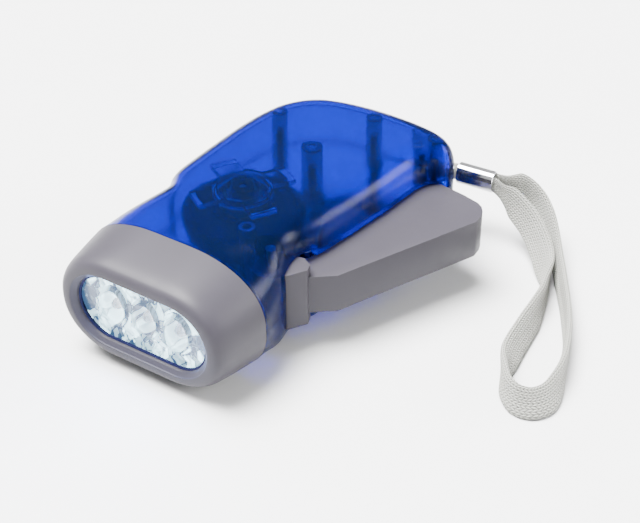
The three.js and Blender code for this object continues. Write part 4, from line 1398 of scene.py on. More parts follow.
    def _half(self, inset: float, side: Side) -> list[Ring]:
        """The rings of one half, from the widest one in over the flat.

        Args:
            inset: How far the form is drawn in.
            side: Which half.

        Returns:
            The rings.
        """
        rings = [self._ring(inset, 90 * i / self.edge_steps, side) for i in range(self.edge_steps + 1)]
        return rings + [self._ring(inset, 90, side, share) for share in self.flat_shares]

    def form(self, name: str, inset: float) -> Piece:
        """The whole form as a closed solid.

        Args:
            name: Its name.
            inset: How far it is drawn in.

        Returns:
            The solid.
        """
        lower, upper = self._half(inset, Side.BOTTOM), self._half(inset, Side.TOP)
        return Bench.rolled(name, [*reversed(lower), *upper])


@dataclass
class Rib:
    """The round rib under the top wall, and the pads that run out from it."""

    body: Body
    finishes: Finishes
    inner: float = 7.2
    outer: float = 8.1
    depth: float = 2.4
    pad_inner: float = 7.65
    pad_reach: float = 14.5
    pad_half: float = 3.65
    pad_thickness: float = 1.3
    pad_turns: tuple[float, ...] = (60, 150, 240, 330)
    bead: float = 0.2
    bead_inset: float = 0.1
    bead_sides: int = 8
    end_depths: Flat = (1.5, 1.25)
    end_start: float = 12.7
    end_room: Flat = (2.0, 1.0)

    def ring(self) -> Piece:
        """The round rib."""
        ends = self.body.ceiling - self.depth, self.body.half_thickness
        return Bench.tube("rib", (self.inner, self.outer), ends, LAYOUT.rotor)

    def _pad(self, degrees: float, low: float, high: float) -> Piece:
        """A flat pad that runs out from the rib.

        Args:
            degrees: Its direction, left of +y.
            low: The height of its lower face.
            high: The height of its upper face.

        Returns:
            The pad.
        """
        near, far = [math.degrees(math.asin(self.pad_half / r)) for r in (self.pad_inner, self.pad_reach)]
        corners = [
            left_of(LAYOUT.rotor, self.pad_inner, degrees + near),
            left_of(LAYOUT.rotor, self.pad_inner, degrees - near),
            left_of(LAYOUT.rotor, self.pad_reach, degrees - far),
            left_of(LAYOUT.rotor, self.pad_reach, degrees + far),
        ]
        return Bench.slab("pad", corners, low, high)

    def pads(self) -> Piece:
        """The pads as one object.

        Returns:
            The object.
        """
        low, high = self.body.ceiling - self.pad_thickness, self.body.half_thickness
        return Bench.gathered("pads", [self._pad(turn, low, high) for turn in self.pad_turns])

    def build_edges(self) -> None:
        """Builds the frosted beads under the rib and the pads' frosted ends, which catch the light."""
        ceiling = self.body.ceiling
        middle = ceiling - self.depth - self.bead_inset
        turns = angles_round(self.bead_sides)
        round_it = [(math.cos(t) * self.bead, math.sin(t) * self.bead) for t in turns]
        edges = []
        for radius in (self.inner + self.bead_inset, self.outer - self.bead_inset):
            profile = [(radius + x, middle + z) for x, z in (*round_it, round_it[0])]
            edges.append(Bench.turned("bead", profile, LAYOUT.rotor))
        for turn in self.pad_turns:
            end = self._pad(turn, *(ceiling - depth for depth in self.end_depths))
            room = [ceiling - depth for depth in self.end_room]
            Bench.work(end, Cut.TAKE_AWAY, Bench.rod("room", self.end_start, *room, LAYOUT.rotor))
            edges.append(end)
        piece = Bench.gathered("rib_edges", edges)
        Fitting("case", "blue_plastic", (), self.finishes.frosted, smooth=30.0).settle(piece)


@dataclass
class Post:
    """A hollow post that a case screw runs into."""

    at: Flat
    radius: float


@dataclass
class Case:
    """The two blue shells with their posts, bosses and ribs.

    Each post is given by its place, as shares of the half width and of the length, and by its radius.
    Heights and depths are distances from the parting plane, for either half.
    """

    body: Body
    finishes: Finishes
    post_places: tuple[tuple[float, float, float], ...] = (
        (0.379, 0.306, 2.3),
        (0.102, 0.71, 3.0),
        (0.316, 0.933, 2.3),
        (1.035, 0.931, 2.3),
        (-0.558, 0.818, 2.3),
    )
    plate_places: tuple[Flat, ...] = ((0.498, 0.516), (-0.649, 0.502), (0.263, 0.656))
    slot_reach: float = 66.0
    slot_half: float = 6.5
    slot_turn: float = 82.0
    slot_steps: int = 48
    hub_half: float = 9.0
    hub_radius: float = 5.5
    hub_front: float = 27.3
    hub_rear: float = 42.3
    strap_slot: tuple[Place, Place] = ((21.4, 99.8, -2.9), (29.1, 130.0, 2.9))
    lip_insets: tuple[float, float, float] = (2.5, 4.1, 1.0)
    lip_length: float = 4.0
    lip_root_length: float = 2.0
    lip_sides: int = 120
    plate_post_radius: float = 2.3
    plate_post_height: float = 2.2
    seat_radius: float = 3.35
    seat_height: float = 13.2
    bush_boss_radius: float = 4.3
    bush_boss_depths: tuple[float, float] = (3.0, 3.2)
    shaft_boss_radius: float = 2.4
    pivot_boss_radius: float = 4.2
    strap_lug_radius: float = 2.6
    strap_lug_height: float = 5.2
    pilot_radius: float = 1.18
    pilot_roof: float = 0.2
    plate_pilot_depth: float = 8.4
    shank_radius: float = 1.35
    shank_depth: float = 16.0
    head_radius: float = 2.25
    head_seat: float = 14.8
    head_sides: int = 48
    bush_bore: float = 3.06
    bush_sides: int = 64
    pivot_pin_depth: float = 14.5
    strap_pin_depth: float = 8.3
    post_end_bore: float = 1.25
    post_end_inset: float = 0.05
    post_end_depths: Flat = (0.6, 0.3)
    post_end_sides: int = 48
    outer_share: float = 0.7
    space: float = 60.0

    def __post_init__(self) -> None:
        """Places the posts and prepares the rib."""
        self.posts = [Post(self.body.place(x, y), radius) for x, y, radius in self.post_places]
        self.rib = Rib(self.body, self.finishes)

    def _slot(self) -> list[Piece]:
        """The tools that open the lever's slot and the room for its hub.

        Returns:
            The tools.
        """
        turns = [self.slot_turn * i / self.slot_steps - self.slot_turn for i in range(self.slot_steps + 1)]
        sweep = [left_of(LAYOUT.pivot, self.slot_reach, turn) for turn in turns]
        arm = Bench.slab("arm_slot", [LAYOUT.pivot, *sweep], -self.slot_half, self.slot_half)
        x, _ = LAYOUT.pivot
        low = (x, self.hub_front, -self.hub_half)
        hub = Bench.block("hub_slot", low, (x + self.space, self.hub_rear, self.hub_half))
        room = Bench.rod("hub_room", self.hub_radius, -self.hub_half, self.hub_half, LAYOUT.pivot)
        return [arm, hub, room]

    def _lip(self, side: Side) -> Piece:
        """The thin collar that the bezel slides over.

        Args:
            side: Which half.

        Returns:
            The collar's half.
        """
        outer, inner, root = [self.body.head.drawn_in(inset) for inset in self.lip_insets]
        collar = self.body.collar
        front, rear = collar - self.lip_length, collar + self.lip_root_length
        steps = ((inner, front), (outer, front), (outer, collar), (root, collar), (root, rear), (inner, rear))
        rings = [section.ring(y, self.lip_sides) for section, y in steps]
        lip = Bench.rolled("lip", rings, looped=True)
        return Bench.work(lip, Cut.KEEP, self._half_space(side, 0.0))

    def _half_space(self, side: Side, front: float) -> Piece:
        """A box that holds one side of the parting plane.

        Args:
            side: Which side.
            front: Where it starts, from the lens.

        Returns:
            The box.
        """
        ends = sorted((side.value * self.body.seam / 2, side.value * self.space))
        low, high = (-self.space, front, ends[0]), (self.space, self.space * 2, ends[1])
        return Bench.block("half", low, high)

    def _boss(self, side: Side, radius: float, height: float, at: Flat) -> Piece:
        """A rod on one half's wall.

        Args:
            side: Which half.
            radius: Its radius.
            height: How far from the parting plane its end is.
            at: Its axis.

        Returns:
            The rod.
        """
        ends = sorted((side.value * height, side.value * self.body.half_thickness))
        return Bench.rod("boss", radius, *ends, at)

    def _hole(self, side: Side, radius: float, depth: float, at: Flat, sides: int) -> Piece:
        """A hole into one half, from the parting plane.

        Args:
            side: Which half.
            radius: Its radius.
            depth: How deep it is.
            at: Its axis.
            sides: How many sides it has.

        Returns:
            The tool that makes it.
        """
        ends = sorted((-side.value * LAYOUT.through, side.value * depth))
        return Bench.rod("hole", radius, *ends, at, sides)

    def _fittings(self, side: Side) -> list[Piece]:
        """What stands on one half's wall.

        Args:
            side: Which half.

        Returns:
            The pieces, in the order in which they are joined to the shell.
        """
        ceiling = self.body.ceiling
        posts = [self._boss(side, post.radius, self.body.seam / 2, post.at) for post in self.posts]
        pivot = self._boss(side, self.pivot_boss_radius, self.hub_half, LAYOUT.pivot)
        lug = self._boss(side, self.strap_lug_radius, self.strap_lug_height, LAYOUT.strap_pin)
        top_depth, bottom_depth = self.bush_boss_depths
        if side is Side.TOP:
            bush = self._boss(side, self.bush_boss_radius, ceiling - top_depth, LAYOUT.rotor)
            standing = Bench.gathered("standing", [*posts, self.rib.ring(), pivot, lug])
            return [standing, self.rib.pads(), bush]
        bush = self._boss(side, self.bush_boss_radius, ceiling - bottom_depth, LAYOUT.rotor)
        shaft = self._boss(side, self.shaft_boss_radius, ceiling - bottom_depth, LAYOUT.second)
        plates = [
            self._boss(side, self.plate_post_radius, self.plate_post_height, self.body.place(*at))
            for at in self.plate_places
        ]
        seats = [self._boss(side, self.seat_radius, self.seat_height, post.at) for post in self.posts]
        standing = Bench.gathered("standing", [*posts, *plates, bush, shaft, pivot, lug])
        return [standing, Bench.gathered("seats", seats)]

    def _bores(self, side: Side) -> list[Piece]:
        """The holes for screws, shafts and pins.

        Args:
            side: Which half.

        Returns:
            The tools that make them.
        """
        ceiling, fine = self.body.ceiling, LAYOUT.bore_sides
        pins = [
            self._hole(side, LAYOUT.pivot_bore, self.pivot_pin_depth, LAYOUT.pivot, fine),
            self._hole(side, LAYOUT.shaft_bore, self.strap_pin_depth, LAYOUT.strap_pin, fine),
        ]
        bush = self._hole(side, self.bush_bore, ceiling, LAYOUT.rotor, self.bush_sides)
        if side is Side.TOP:
            depth = ceiling - self.pilot_roof
            pilots = [self._hole(side, self.pilot_radius, depth, post.at, fine) for post in self.posts]
            return [Bench.gathered("bores", [*pilots, bush, *pins])]
        shanks = [self._hole(side, self.shank_radius, self.shank_depth, post.at, fine) for post in self.posts]
        pilots = [
            self._hole(side, self.pilot_radius, self.plate_pilot_depth, self.body.place(*at), fine)
            for at in self.plate_places
        ]
        shaft = self._hole(side, LAYOUT.shaft_bore, ceiling, LAYOUT.second, fine)
        low, seat = -2 * LAYOUT.through, -self.head_seat
        heads = [
            Bench.rod("head", self.head_radius, low, seat, post.at, self.head_sides) for post in self.posts
        ]
        bores = Bench.gathered("bores", [*shanks, *pilots, bush, shaft, *pins])
        return [Bench.gathered("heads", heads), bores]

    def _half(self, side: Side, node: str) -> None:
        """Builds one shell.

        Args:
            side: Which half.
            node: The CAD node that it stands for.
        """
        shell = self.body.form(f"{node}_clear", 0.0)
        Bench.work(shell, Cut.TAKE_AWAY, self.body.form("hollow", self.body.wall))
        Bench.work(shell, Cut.KEEP, self._half_space(side, self.body.collar))
        Bench.work(shell, Cut.TAKE_AWAY, *self._slot())
        for fitting in self._fittings(side):
            Bench.work(fitting, Cut.KEEP, self.body.form("inside", self.body.wall / 2))
            Bench.work(shell, Cut.ADD, fitting)
        Bench.work(shell, Cut.ADD, self._lip(side))
        Bench.work(shell, Cut.TAKE_AWAY, *self._bores(side), Bench.block("strap_slot", *self.strap_slot))
        Fitting("case", "blue_plastic", (node,), self.finishes.blue, smooth=28.0).settle(shell)

    def _post_ends(self) -> None:
        """Builds the dark rings where the posts run into the top wall."""
        low, high = [self.body.ceiling - depth for depth in self.post_end_depths]
        rings = []
        for post in self.posts:
            radii = self.post_end_bore, post.radius - self.post_end_inset
            rings.append(Bench.tube("post_end", radii, (low, high), post.at, self.post_end_sides))
        ends = Bench.gathered("post_ends", rings)
        Bench.work(ends, Cut.KEEP, self.body.form("inside", self.body.wall * self.outer_share))
        Fitting("case", "blue_plastic", (), self.finishes.post_end, smooth=30.0).settle(ends)

    def build(self) -> None:
        """Builds both shells and what is seen through the upper one."""
        self._half(Side.TOP, "top_shell")
        self._half(Side.BOTTOM, "bottom_shell")
        self.rib.build_edges()
        self._post_ends()


# The head


@dataclass
class Head:
    """Bezel, lens, reflector and a thin dark ring between bezel and lens that paints the shade on the
    opening's inner wall.

    The lip's rows are shares of half the lip's width and of the crest's height.
    """

    body: Body
    finishes: Finishes
    opening: Section = field(default_factory=lambda: Section(11.0, 0.0, 9.55, 9.55, 1.0))
    front: Section = field(default_factory=lambda: Section(9.0, 0.0, 17.2, 14.8, 0.92))
    around: int = 168
    shoulder: float = 1.2
    shoulder_lead: float = 1.6
    crest: float = 1.5
    crest_share: float = 0.6
    lip_outside: Stops = ((0.3, 0.25), (0.75, 0.85))
    lip_inside: Stops = ((0.45, 0.75), (0.1, 0.2), (0.0, -0.2))
    lip_steps: int = 6
    flare: float = 0.8
    flank_steps: int = 14
    wall: float = 2.2
    rear_band: float = 0.25
    setback: float = 1.0
    pocket: float = 7.0
    rim: float = 1.4
    play: float = 0.3
    bevel: float = 0.2
    core_share: float = 0.9
    across_sides: int = 72
    slimness: float = 0.72
    plate_thickness: float = 1.2
    bubble_radius: float = 5.6
    bubble_height: float = 1.2
    bubble_root: float = 0.6
    bubble_steps: int = 12
    reflector_front: float = 2.8
    reflector_depth: float = 8.0
    cup: tuple[Flat, ...] = (
        (0.0, -2.0),
        (6.4, -2.0),
        (6.4, 0.0),
        (5.2, 2.4),
        (4.3, 6.0),
        (3.9, 8.0),
        (3.9, 10.0),
        (0.0, 10.0),
    )
    # Where the dark ring of painted shade round the lens lies.
    shadow_ring_insets: Flat = (-0.03, 0.5)
    shadow_ring_front: float = 0.05
    shadow_ring_bevel: float = 0.15
    shadow_ring_rear: float = 0.02

    def _outer(self, y: float) -> Section:
        """The bezel's outer section at a distance from the front.

        Args:
            y: The distance.

        Returns:
            The section.
        """
        share = min(max((y - self.shoulder) / (self.body.collar - self.shoulder), 0.0), 1.0)
        return self.front.towards(self.body.head, share**self.flare)

    def _lip(self) -> list[tuple[Section, float]]:
        """The rounded lip, from the shoulder over the crest into the opening.

        Returns:
            The sections and their distances from the front.
        """
        half = (self.front.round_z - self.opening.round_z) / 2
        crest = self.opening.towards(self.front.drawn_in(half), self.crest_share)
        lead = self.shoulder + self.shoulder_lead
        steps = [(self._outer(lead), lead), (self._outer(self.shoulder), self.shoulder)]
        steps += [(self.front.drawn_in(half * by), -self.crest * rise) for by, rise in self.lip_outside]
        steps.append((crest, -self.crest))
        steps += [(self.opening.drawn_in(-half * by), -self.crest * rise) for by, rise in self.lip_inside]
        rows = [Vector((*section.values(), y)) for section, y in steps]
        rows.append(rows[-1] * 2 - rows[-2])
        smooth = []
        for a, b, c, d in zip(rows, rows[1:], rows[2:], rows[3:]):
            for k in range(self.lip_steps):
                w = k / self.lip_steps
                slope, bend, twist = c - a, a * 2 - b * 5 + c * 4 - d, b * 3 - a - c * 3 + d
                row = b + slope * (w / 2) + bend * (w * w / 2) + twist * (w**3 / 2)
                smooth.append((Section(*row[:5]), row[5]))
        return [*smooth, steps[-1]]

    def _bezel(self) -> None:
        """Builds the bezel."""
        rear, head = self.body.collar - self.body.seam, self.body.head
        pocket = self.opening.drawn_in(-self.rim)
        flank = [rear - (rear - self.shoulder) * i / self.flank_steps for i in range(self.flank_steps)]
        steps = [(self._outer(y), y) for y in flank] + self._lip()
        steps += [(self.opening, self.setback), (pocket, self.setback), (pocket, self.pocket)]
        steps += [
            (self._outer(self.pocket).drawn_in(self.wall), self.pocket),
            (head.drawn_in(self.wall), rear),
            (head.drawn_in(self.rear_band), rear),
        ]
        bezel = self._through("bezel_ring", steps, looped=True)
        Fitting("case", "grey_plastic", ("bezel",), self.finishes.grey, smooth=40.0).settle(bezel)

    def _through(self, name: str, steps: Iterable[tuple[Section, float]], looped: bool = False) -> Piece:
        """A form rolled through sections.

        Args:
            name: Its name.
            steps: The sections and their distances from the front.
            looped: Whether the last section joins the first.

        Returns:
            The form.
        """
        return Bench.rolled(name, [section.ring(y, self.around) for section, y in steps], looped)

    def _stadium(self, name: str, front: float, rear: float) -> Piece:
        """A plate that fits behind the opening.

        Args:
            name: Its name.
            front: Its front face.
            rear: Its rear face.

        Returns:
            The plate.
        """
        radius = self.opening.round_x + self.rim - self.play
        edge = Section(self.opening.straight_x, 0.0, radius, radius, 1.0)
        core = edge.drawn_in(radius * self.core_share)
        bevelled = [(edge.drawn_in(self.bevel), front), (edge, front + self.bevel)]
        return self._through(name, [(core, front), *bevelled, (edge, rear), (core, rear)])

    def _at_leds(self, profile: Sequence[Flat]) -> Piece:
        """Pieces turned about the three LEDs' axes, each taller than it is wide.

        Args:
            profile: Half height and distance from the front of each step.

        Returns:
            The pieces as one object.
        """
        turns = angles_round(self.across_sides)
        pieces = []
        for middle in LAYOUT.leds:
            rings = [
                [Vector((middle + r * self.slimness * math.cos(t), y, r * math.sin(t))) for t in turns]
                for r, y in profile
            ]
            pieces.append(Bench.rolled("across", rings))
        return Bench.gathered("across", pieces)

    def _lens(self) -> None:
        """Builds the clear plate with a bubble before each LED."""
        front, radius, height = self.setback + self.play, self.bubble_radius, self.bubble_height
        plate = self._stadium("lens_plate", front, front + self.plate_thickness)
        curve = (radius**2 + height**2) / (2 * height)
        reaches = [radius * i / self.bubble_steps for i in range(self.bubble_steps + 1)]
        dome = [(r, front - math.sqrt(curve**2 - r**2) + curve - height) for r in reaches]
        root = front + self.bubble_root
        Bench.work(plate, Cut.ADD, self._at_leds([*dome, (radius, root), (0.0, root)]))
        Fitting("case", "clear_plastic", ("front_lens",), self.finishes.lens, smooth=30.0).settle(plate)

    def _reflector(self) -> None:
        """Builds the block with the painted glow, with a faceted front and a cup for each LED."""
        front = self.reflector_front
        block = self._stadium("reflector_block", front, front + self.reflector_depth)
        Bench.work(block, Cut.TAKE_AWAY, self._at_leds([(r, front + y) for r, y in self.cup]))
        Fitting("case", "mirror", ("reflector",), self.finishes.painted_glow_mirror, smooth=20.0).settle(block)

    def _shadow_ring(self) -> None:
        """Builds the thin dark ring between the lip and the lens, which paints the shade on the opening's
        inner wall.
        """
        outer, inner = [self.opening.drawn_in(inset) for inset in self.shadow_ring_insets]
        _, lip_end = self.lip_inside[-1]
        front, rear = self.shadow_ring_front - self.crest * lip_end, self.setback - self.shadow_ring_rear
        steps = [(outer, front), (inner, front + self.shadow_ring_bevel), (inner, rear), (outer, rear)]
        shadow_ring = self._through("lens_shadow_ring", steps, looped=True)
        Fitting("case", "black_sheath", (), self.finishes.shadow_ring, smooth=30.0).settle(shadow_ring)

    def build(self) -> None:
        """Builds the head's pieces."""
        self._bezel()
        self._shadow_ring()
        self._lens()
        self._reflector()


# The lever


@dataclass
class Lever:
    """The grey side lever.

    Its outlines are turns about the pivot, in degrees right of +y, and shares of the reach.
    """

    finishes: Finishes
    reach: float = 65.6
    half: float = 5.7
    hub_half: float = 8.7
    hub_radius: float = 5.2
    wall: float = 2.2
    sector_top: float = -5.6
    play: float = 0.3
    rounding: float = 0.5
    arm: tuple[Flat, ...] = (
        (-15, 0.08),
        (100, 0.08),
        (60.8, 0.15),
        (56.6, 0.263),
        (32.3, 0.918),
        (30.6, 0.957),
        (29, 0.981),
        (27.2, 0.996),
        (25.4, 1),
        (20.5, 0.987),
        (15.5, 0.973),
        (11, 0.97),
        (9.6, 0.948),
        (12.2, 0.529),
        (17.6, 0.197),
    )
    hollow: tuple[Flat, ...] = (
        (0, 0.28),
        (44.5, 0.285),
        (30.4, 0.912),
        (28, 0.95),
        (25.6, 0.963),
        (16, 0.938),
        (10.2, 0.932),
        (0, 0.92),
    )
    hub: tuple[Flat, ...] = (
        (98.4, 0.094),
        (66.9, 0.1475),
        (53, 0.156),
        (34.2, 0.1437),
        (0, 0.1),
        (170, 0.06),
    )

    def _slab(self, name: str, outline: Sequence[Flat], half: float) -> Piece:
        """A slab about the parting plane, from one of the outlines.

        Args:
            name: Its name.
            outline: The outline.
            half: Half its thickness.

        Returns:
            The slab.
        """
        points = [left_of(LAYOUT.pivot, share * self.reach, -turn) for turn, share in reversed(outline)]
        return Bench.slab(name, points, -half, half)

    def build(self) -> None:
        """Builds the lever."""
        lever = self._slab("lever_arm", self.arm, self.half)
        outer = self._slab("hub", self.hub, self.hub_half)
        floor, through, pivot = self.sector_top + self.play, LAYOUT.through, LAYOUT.pivot
        barrel = Bench.rod("barrel", self.hub_radius, floor, self.hub_half, pivot)
        Bench.work(lever, Cut.ADD, outer, barrel)
        room = Bench.rod("room", self.hub_radius + self.play, -through, floor, pivot)
        Bench.work(lever, Cut.TAKE_AWAY, self._slab("hollow", self.hollow, self.half - self.wall), room)
        bore = Bench.rod("bore", LAYOUT.pivot_bore, -through, through, pivot, LAYOUT.bore_sides)
        Bench.work(lever, Cut.TAKE_AWAY, bore)
        Bench.softened(lever, self.rounding)
        Fitting("lever", "grey_plastic", ("lever",), self.finishes.grey, smooth=30.0).settle(lever)


# The strap


@dataclass
class Strap:
    """The braided wrist strap with its crimp and its anchor.

    The lean's rows are a share of the loop's length and how far the band leans out there, in degrees.
    """

    finishes: Finishes
    width: float = 8.4
    thickness: float = 2.0
    crimped_width: float = 4.6
    crimped_thickness: float = 1.5
    strand_gap: float = 0.5
    crimp_start: float = 6.6
    crimp_end: float = 12.0
    squareness: Flat = (0.75, 0.55)
    columns: int = 26
    rib_height: float = 0.1
    around: int = 104
    steps: int = 420
    resting: float = 3.85
    lean: tuple[Flat, ...] = (
        (0.0, 0.0),
        (0.08, 12.0),
        (0.3, 6.0),
        (0.41, 0.0),
        (0.5, -30.0),
        (0.56, -8.0),
        (0.63, 30.0),
        (0.69, 27.0),
        (0.77, 5.0),
        (0.85, -38.0),
        (0.92, -36.0),
        (1.0, 0.0),
    )
    route: tuple[Place, ...] = (
        (39.2, 108.45, 0),
        (43.2, 108.8, 0),
        (46.8, 111.2, -1.2),
        (50.7, 113.4, -3),
        (55.1, 113.2, -5.6),
        (59.8, 110.3, -8.4),
        (63.8, 106.1, -11),
        (68.2, 100, -13),
        (73.9, 91.3, -13.5),
        (80.5, 80.5, -13.5),
        (85.9, 70.4, -13.5),
        (90.1, 59.7, -13.5),
        (92.3, 51.2, -13.5),
        (92.3, 45.4, -13.5),
        (90, 41.9, -13.5),
        (86, 41, -13.5),
        (81.7, 43.6, -13.5),
        (78.4, 49.4, -13.5),
        (76.3, 57.4, -13.5),
        (75.1, 66, -13.5),
        (74, 75.1, -13.5),
        (72.2, 83.6, -13.5),
        (69.1, 91.6, -13.4),
        (65.3, 97.6, -12.6),
        (61, 102.2, -10.8),
        (55.6, 105.9, -8),
        (50.3, 107.3, -5),
        (46.6, 107.1, -2.2),
        (43.4, 106.85, -0.2),
        (39.36, 106.5, 0),
    )
    anchor_route: tuple[Place, ...] = (
        (24, 100, 0),
        (24.3, 102.5, 0),
        (26, 105.2, 0),
        (29, 106.5, 0),
        (32, 106.9, 0),
        (36, 107.2, 0),
    )
    anchor_steps: int = 48
    eye_radii: Flat = (1.3, 2.8)
    eye_sides: int = 48
    ferrule_at: Place = (32.0, 106.9, 0.0)
    ferrule_turn: float = 4.5
    ferrule_size: Place = (11.3, 5.2, 6.4)
    ferrule_wall: float = 0.4
    ferrule_squareness: float = 0.85
    ferrule_rounding: float = 0.12
    ferrule_steps: int = 24
    ferrule_around: int = 96

    def _upright(self, _: float) -> float:
        """The lean of a band that stands upright: none."""
        return 0.0

    def _lean_at(self, share: float) -> float:
        """How far the loop's band leans, in radians.

        Args:
            share: Place along the loop, 0 to 1.

        Returns:
            The angle: positive where its upper edge leans out of the loop.
        """
        for (start, before), (end, after) in zip(self.lean, self.lean[1:]):
            if share <= end:
                part = (share - start) / (end - start)
                return math.radians(before + (after - before) * eased(part))
        return 0.0

    def _leaning(self, places: Sequence[Flat], angle: float) -> list[Flat]:
        """Leans a section over, and lifts it to rest on the same floor.

        Args:
            places: The section's places across and up.
            angle: The angle, in radians.

        Returns:
            The new places.
        """
        c, s = math.cos(angle), math.sin(angle)
        turned = [(x * c + z * s, z * c - x * s) for x, z in places]
        lift = max(0.0, -min(z for _, z in turned) - self.resting)
        return [(x, z + lift) for x, z in turned]

    def _section(self, width: float, thickness: float) -> list[Flat]:
        """A flat cord's section, with the ribs of the braid's columns.

        Args:
            width: Its upright width.
            thickness: Its thickness.

        Returns:
            Places across and up, once round.
        """
        flat, tall = self.squareness
        edge = []
        for angle in angles_round(self.around):
            x = flattened(math.cos(angle), flat) * thickness / 2
            z = flattened(math.sin(angle), tall) * width / 2
            edge.append((x, z, 0.0))
        line = SmoothLine(edge, closed=True)
        places = []
        for i, share in enumerate(line.evenly(self.around)):
            at = line.at(share)
            rib = self.rib_height * (abs(math.sin(self.columns * math.pi * i / self.around)) - 1)
            drawn = at + at.normalized() * rib
            places.append((drawn.x, drawn.y))
        return places

    def _band(
        self,
        name: str,
        points: Sequence[Vector],
        size: Callable[[float], Flat],
        lean: Callable[[float], float],
    ) -> Piece:
        """A flat cord along a line, with its map.

        Args:
            name: Its name.
            points: The line, in even steps.
            size: Width and thickness from the distance to the nearer end.
            lean: How far it leans, from the share of its length.

        Returns:
            The cord.
        """
        total, steps = length_of(points), len(points) - 1
        rings = []
        sections: dict[Flat, list[Flat]] = {}
        for i, at in enumerate(points):
            along = points[min(i + 1, steps)] - points[max(i - 1, 0)]
            across = Vector((-along.y, along.x, 0)).normalized()
            wanted = size(min(i, steps - i) / steps * total)
            if wanted not in sections:
                sections[wanted] = self._section(*wanted)
            places = self._leaning(sections[wanted], lean(i / steps))
            rings.append([at + across * x + Vector((0, 0, z)) for x, z in places])
        band = Bench.rolled(name, rings)
        band.data.uv_layers[0].name = "cord"
        return band

    def _walked(self, route: Sequence[Place], steps: int) -> list[Vector]:
        """Even steps along a route.

        Args:
            route: The points that it follows.
            steps: How many steps.

        Returns:
            The points.
        """
        line = SmoothLine(route)
        return [line.at(share) for share in line.evenly(steps)]

    def _open_size(self, from_end: float) -> Flat:
        """The loop's size at a distance from its crimped ends.

        Args:
            from_end: The distance.

        Returns:
            Its width and its thickness.
        """
        share = min(max((from_end - self.crimp_start) / (self.crimp_end - self.crimp_start), 0.0), 1.0)
        opened = eased(share)
        width = self.crimped_width + (self.width - self.crimped_width) * opened
        return width, self.crimped_thickness + (self.thickness - self.crimped_thickness) * opened

    def _doubled_size(self, _: float) -> Flat:
        """The size of the two strands between pin and ferrule."""
        return self.crimped_width, self.crimped_thickness * 2 + self.strand_gap

    def _loop(self) -> None:
        points = self._walked(self.route, self.steps)
        band = self._band("wrist_strap", points, self._open_size, self._lean_at)
        length = length_of(points) * MM
        braid = BraidedCord("braided_cord", length, self.columns).material()
        Fitting("case", "braid", ("strap_loop",), braid, smooth=60.0).settle(band)
        place = torch_place()
        path = [tuple(place @ point) for point in points]

    def _anchor(self) -> None:
        """Builds the doubled strap between the pin and the ferrule."""
        points = self._walked(self.anchor_route, self.anchor_steps)
        band = self._band("strap_tail", points, self._doubled_size, self._upright)
        ends = -self.crimped_width / 2, self.crimped_width / 2
        eye = Bench.tube("eye", self.eye_radii, ends, LAYOUT.strap_pin, self.eye_sides)
        eye.data.uv_layers[0].name = "cord"
        Bench.work(band, Cut.ADD, eye)
        braid = BraidedCord("braided_tail", length_of(points) * MM, self.columns).material()
        Fitting("case", "braid", ("strap_anchor",), braid, smooth=60.0).settle(band)

    def _ferrule_ring(self, x: float, inset: float) -> Ring:
        """One ring across the flattened tube.

        Args:
            x: Place along the tube.
            inset: How far it is drawn in.

        Returns:
            The ring.
        """
        _, depth, height = self.ferrule_size
        points = []
        for angle in angles_round(self.ferrule_around):
            y = flattened(math.cos(angle), self.ferrule_squareness) * (depth / 2 - inset)
            z = flattened(math.sin(angle), self.ferrule_squareness) * (height / 2 - inset)
            points.append(Vector((x, y, z)))
        return points

    def _ferrule(self) -> None:
        """Builds the flattened tube crimped round the strap."""
        length, wall, edge = self.ferrule_size[0], self.ferrule_wall, self.ferrule_rounding
        start = [(edge, wall), (0.0, wall / 2), (edge, 0.0)]
        middle = [(length * k / self.ferrule_steps, 0.0) for k in range(1, self.ferrule_steps)]
        end = [(length - x, inset) for x, inset in reversed(start)]
        rings = [self._ferrule_ring(x, inset) for x, inset in (*start, *middle, *end)]
        tube = Bench.rolled("strap_crimp", rings, looped=True)
        turn = Matrix.Rotation(math.radians(self.ferrule_turn), 4, "Z")
        tube.data.transform(Matrix.Translation(self.ferrule_at) @ turn)
        Fitting("case", "chrome", ("ferrule",), self.finishes.chrome, smooth=40.0).settle(tube)

    def build(self) -> None:
        """Builds the strap's pieces."""
        self._loop()
        self._anchor()
        self._ferrule()


# The works


@dataclass
class Round:
    """A round piece on the rotor's axis, with bevelled edges and perhaps a groove in its upper face."""

    node: str
    slot: str
    body: str
    material: Material
    radius: float
    low: float
    high: float
    bevel: float = 0.2
    bore: float = LAYOUT.shaft_bore
    groove: tuple[Flat, ...] = ()

    def build(self) -> None:
        """Builds the piece in place of its CAD node."""
        profile = [
            (self.bore, self.low),
            (self.radius - self.bevel, self.low),
            (self.radius, self.low + self.bevel),
            (self.radius, self.high - self.bevel),
            (self.radius - self.bevel, self.high),
            *self.groove,
            (self.bore, self.high),
        ]
        if self.bore:
            profile.append(profile[0])
        piece = Bench.turned(f"{self.node}_turned", profile, LAYOUT.rotor)
        Fitting(self.body, self.slot, (self.node,), self.material, smooth=30.0).settle(piece)


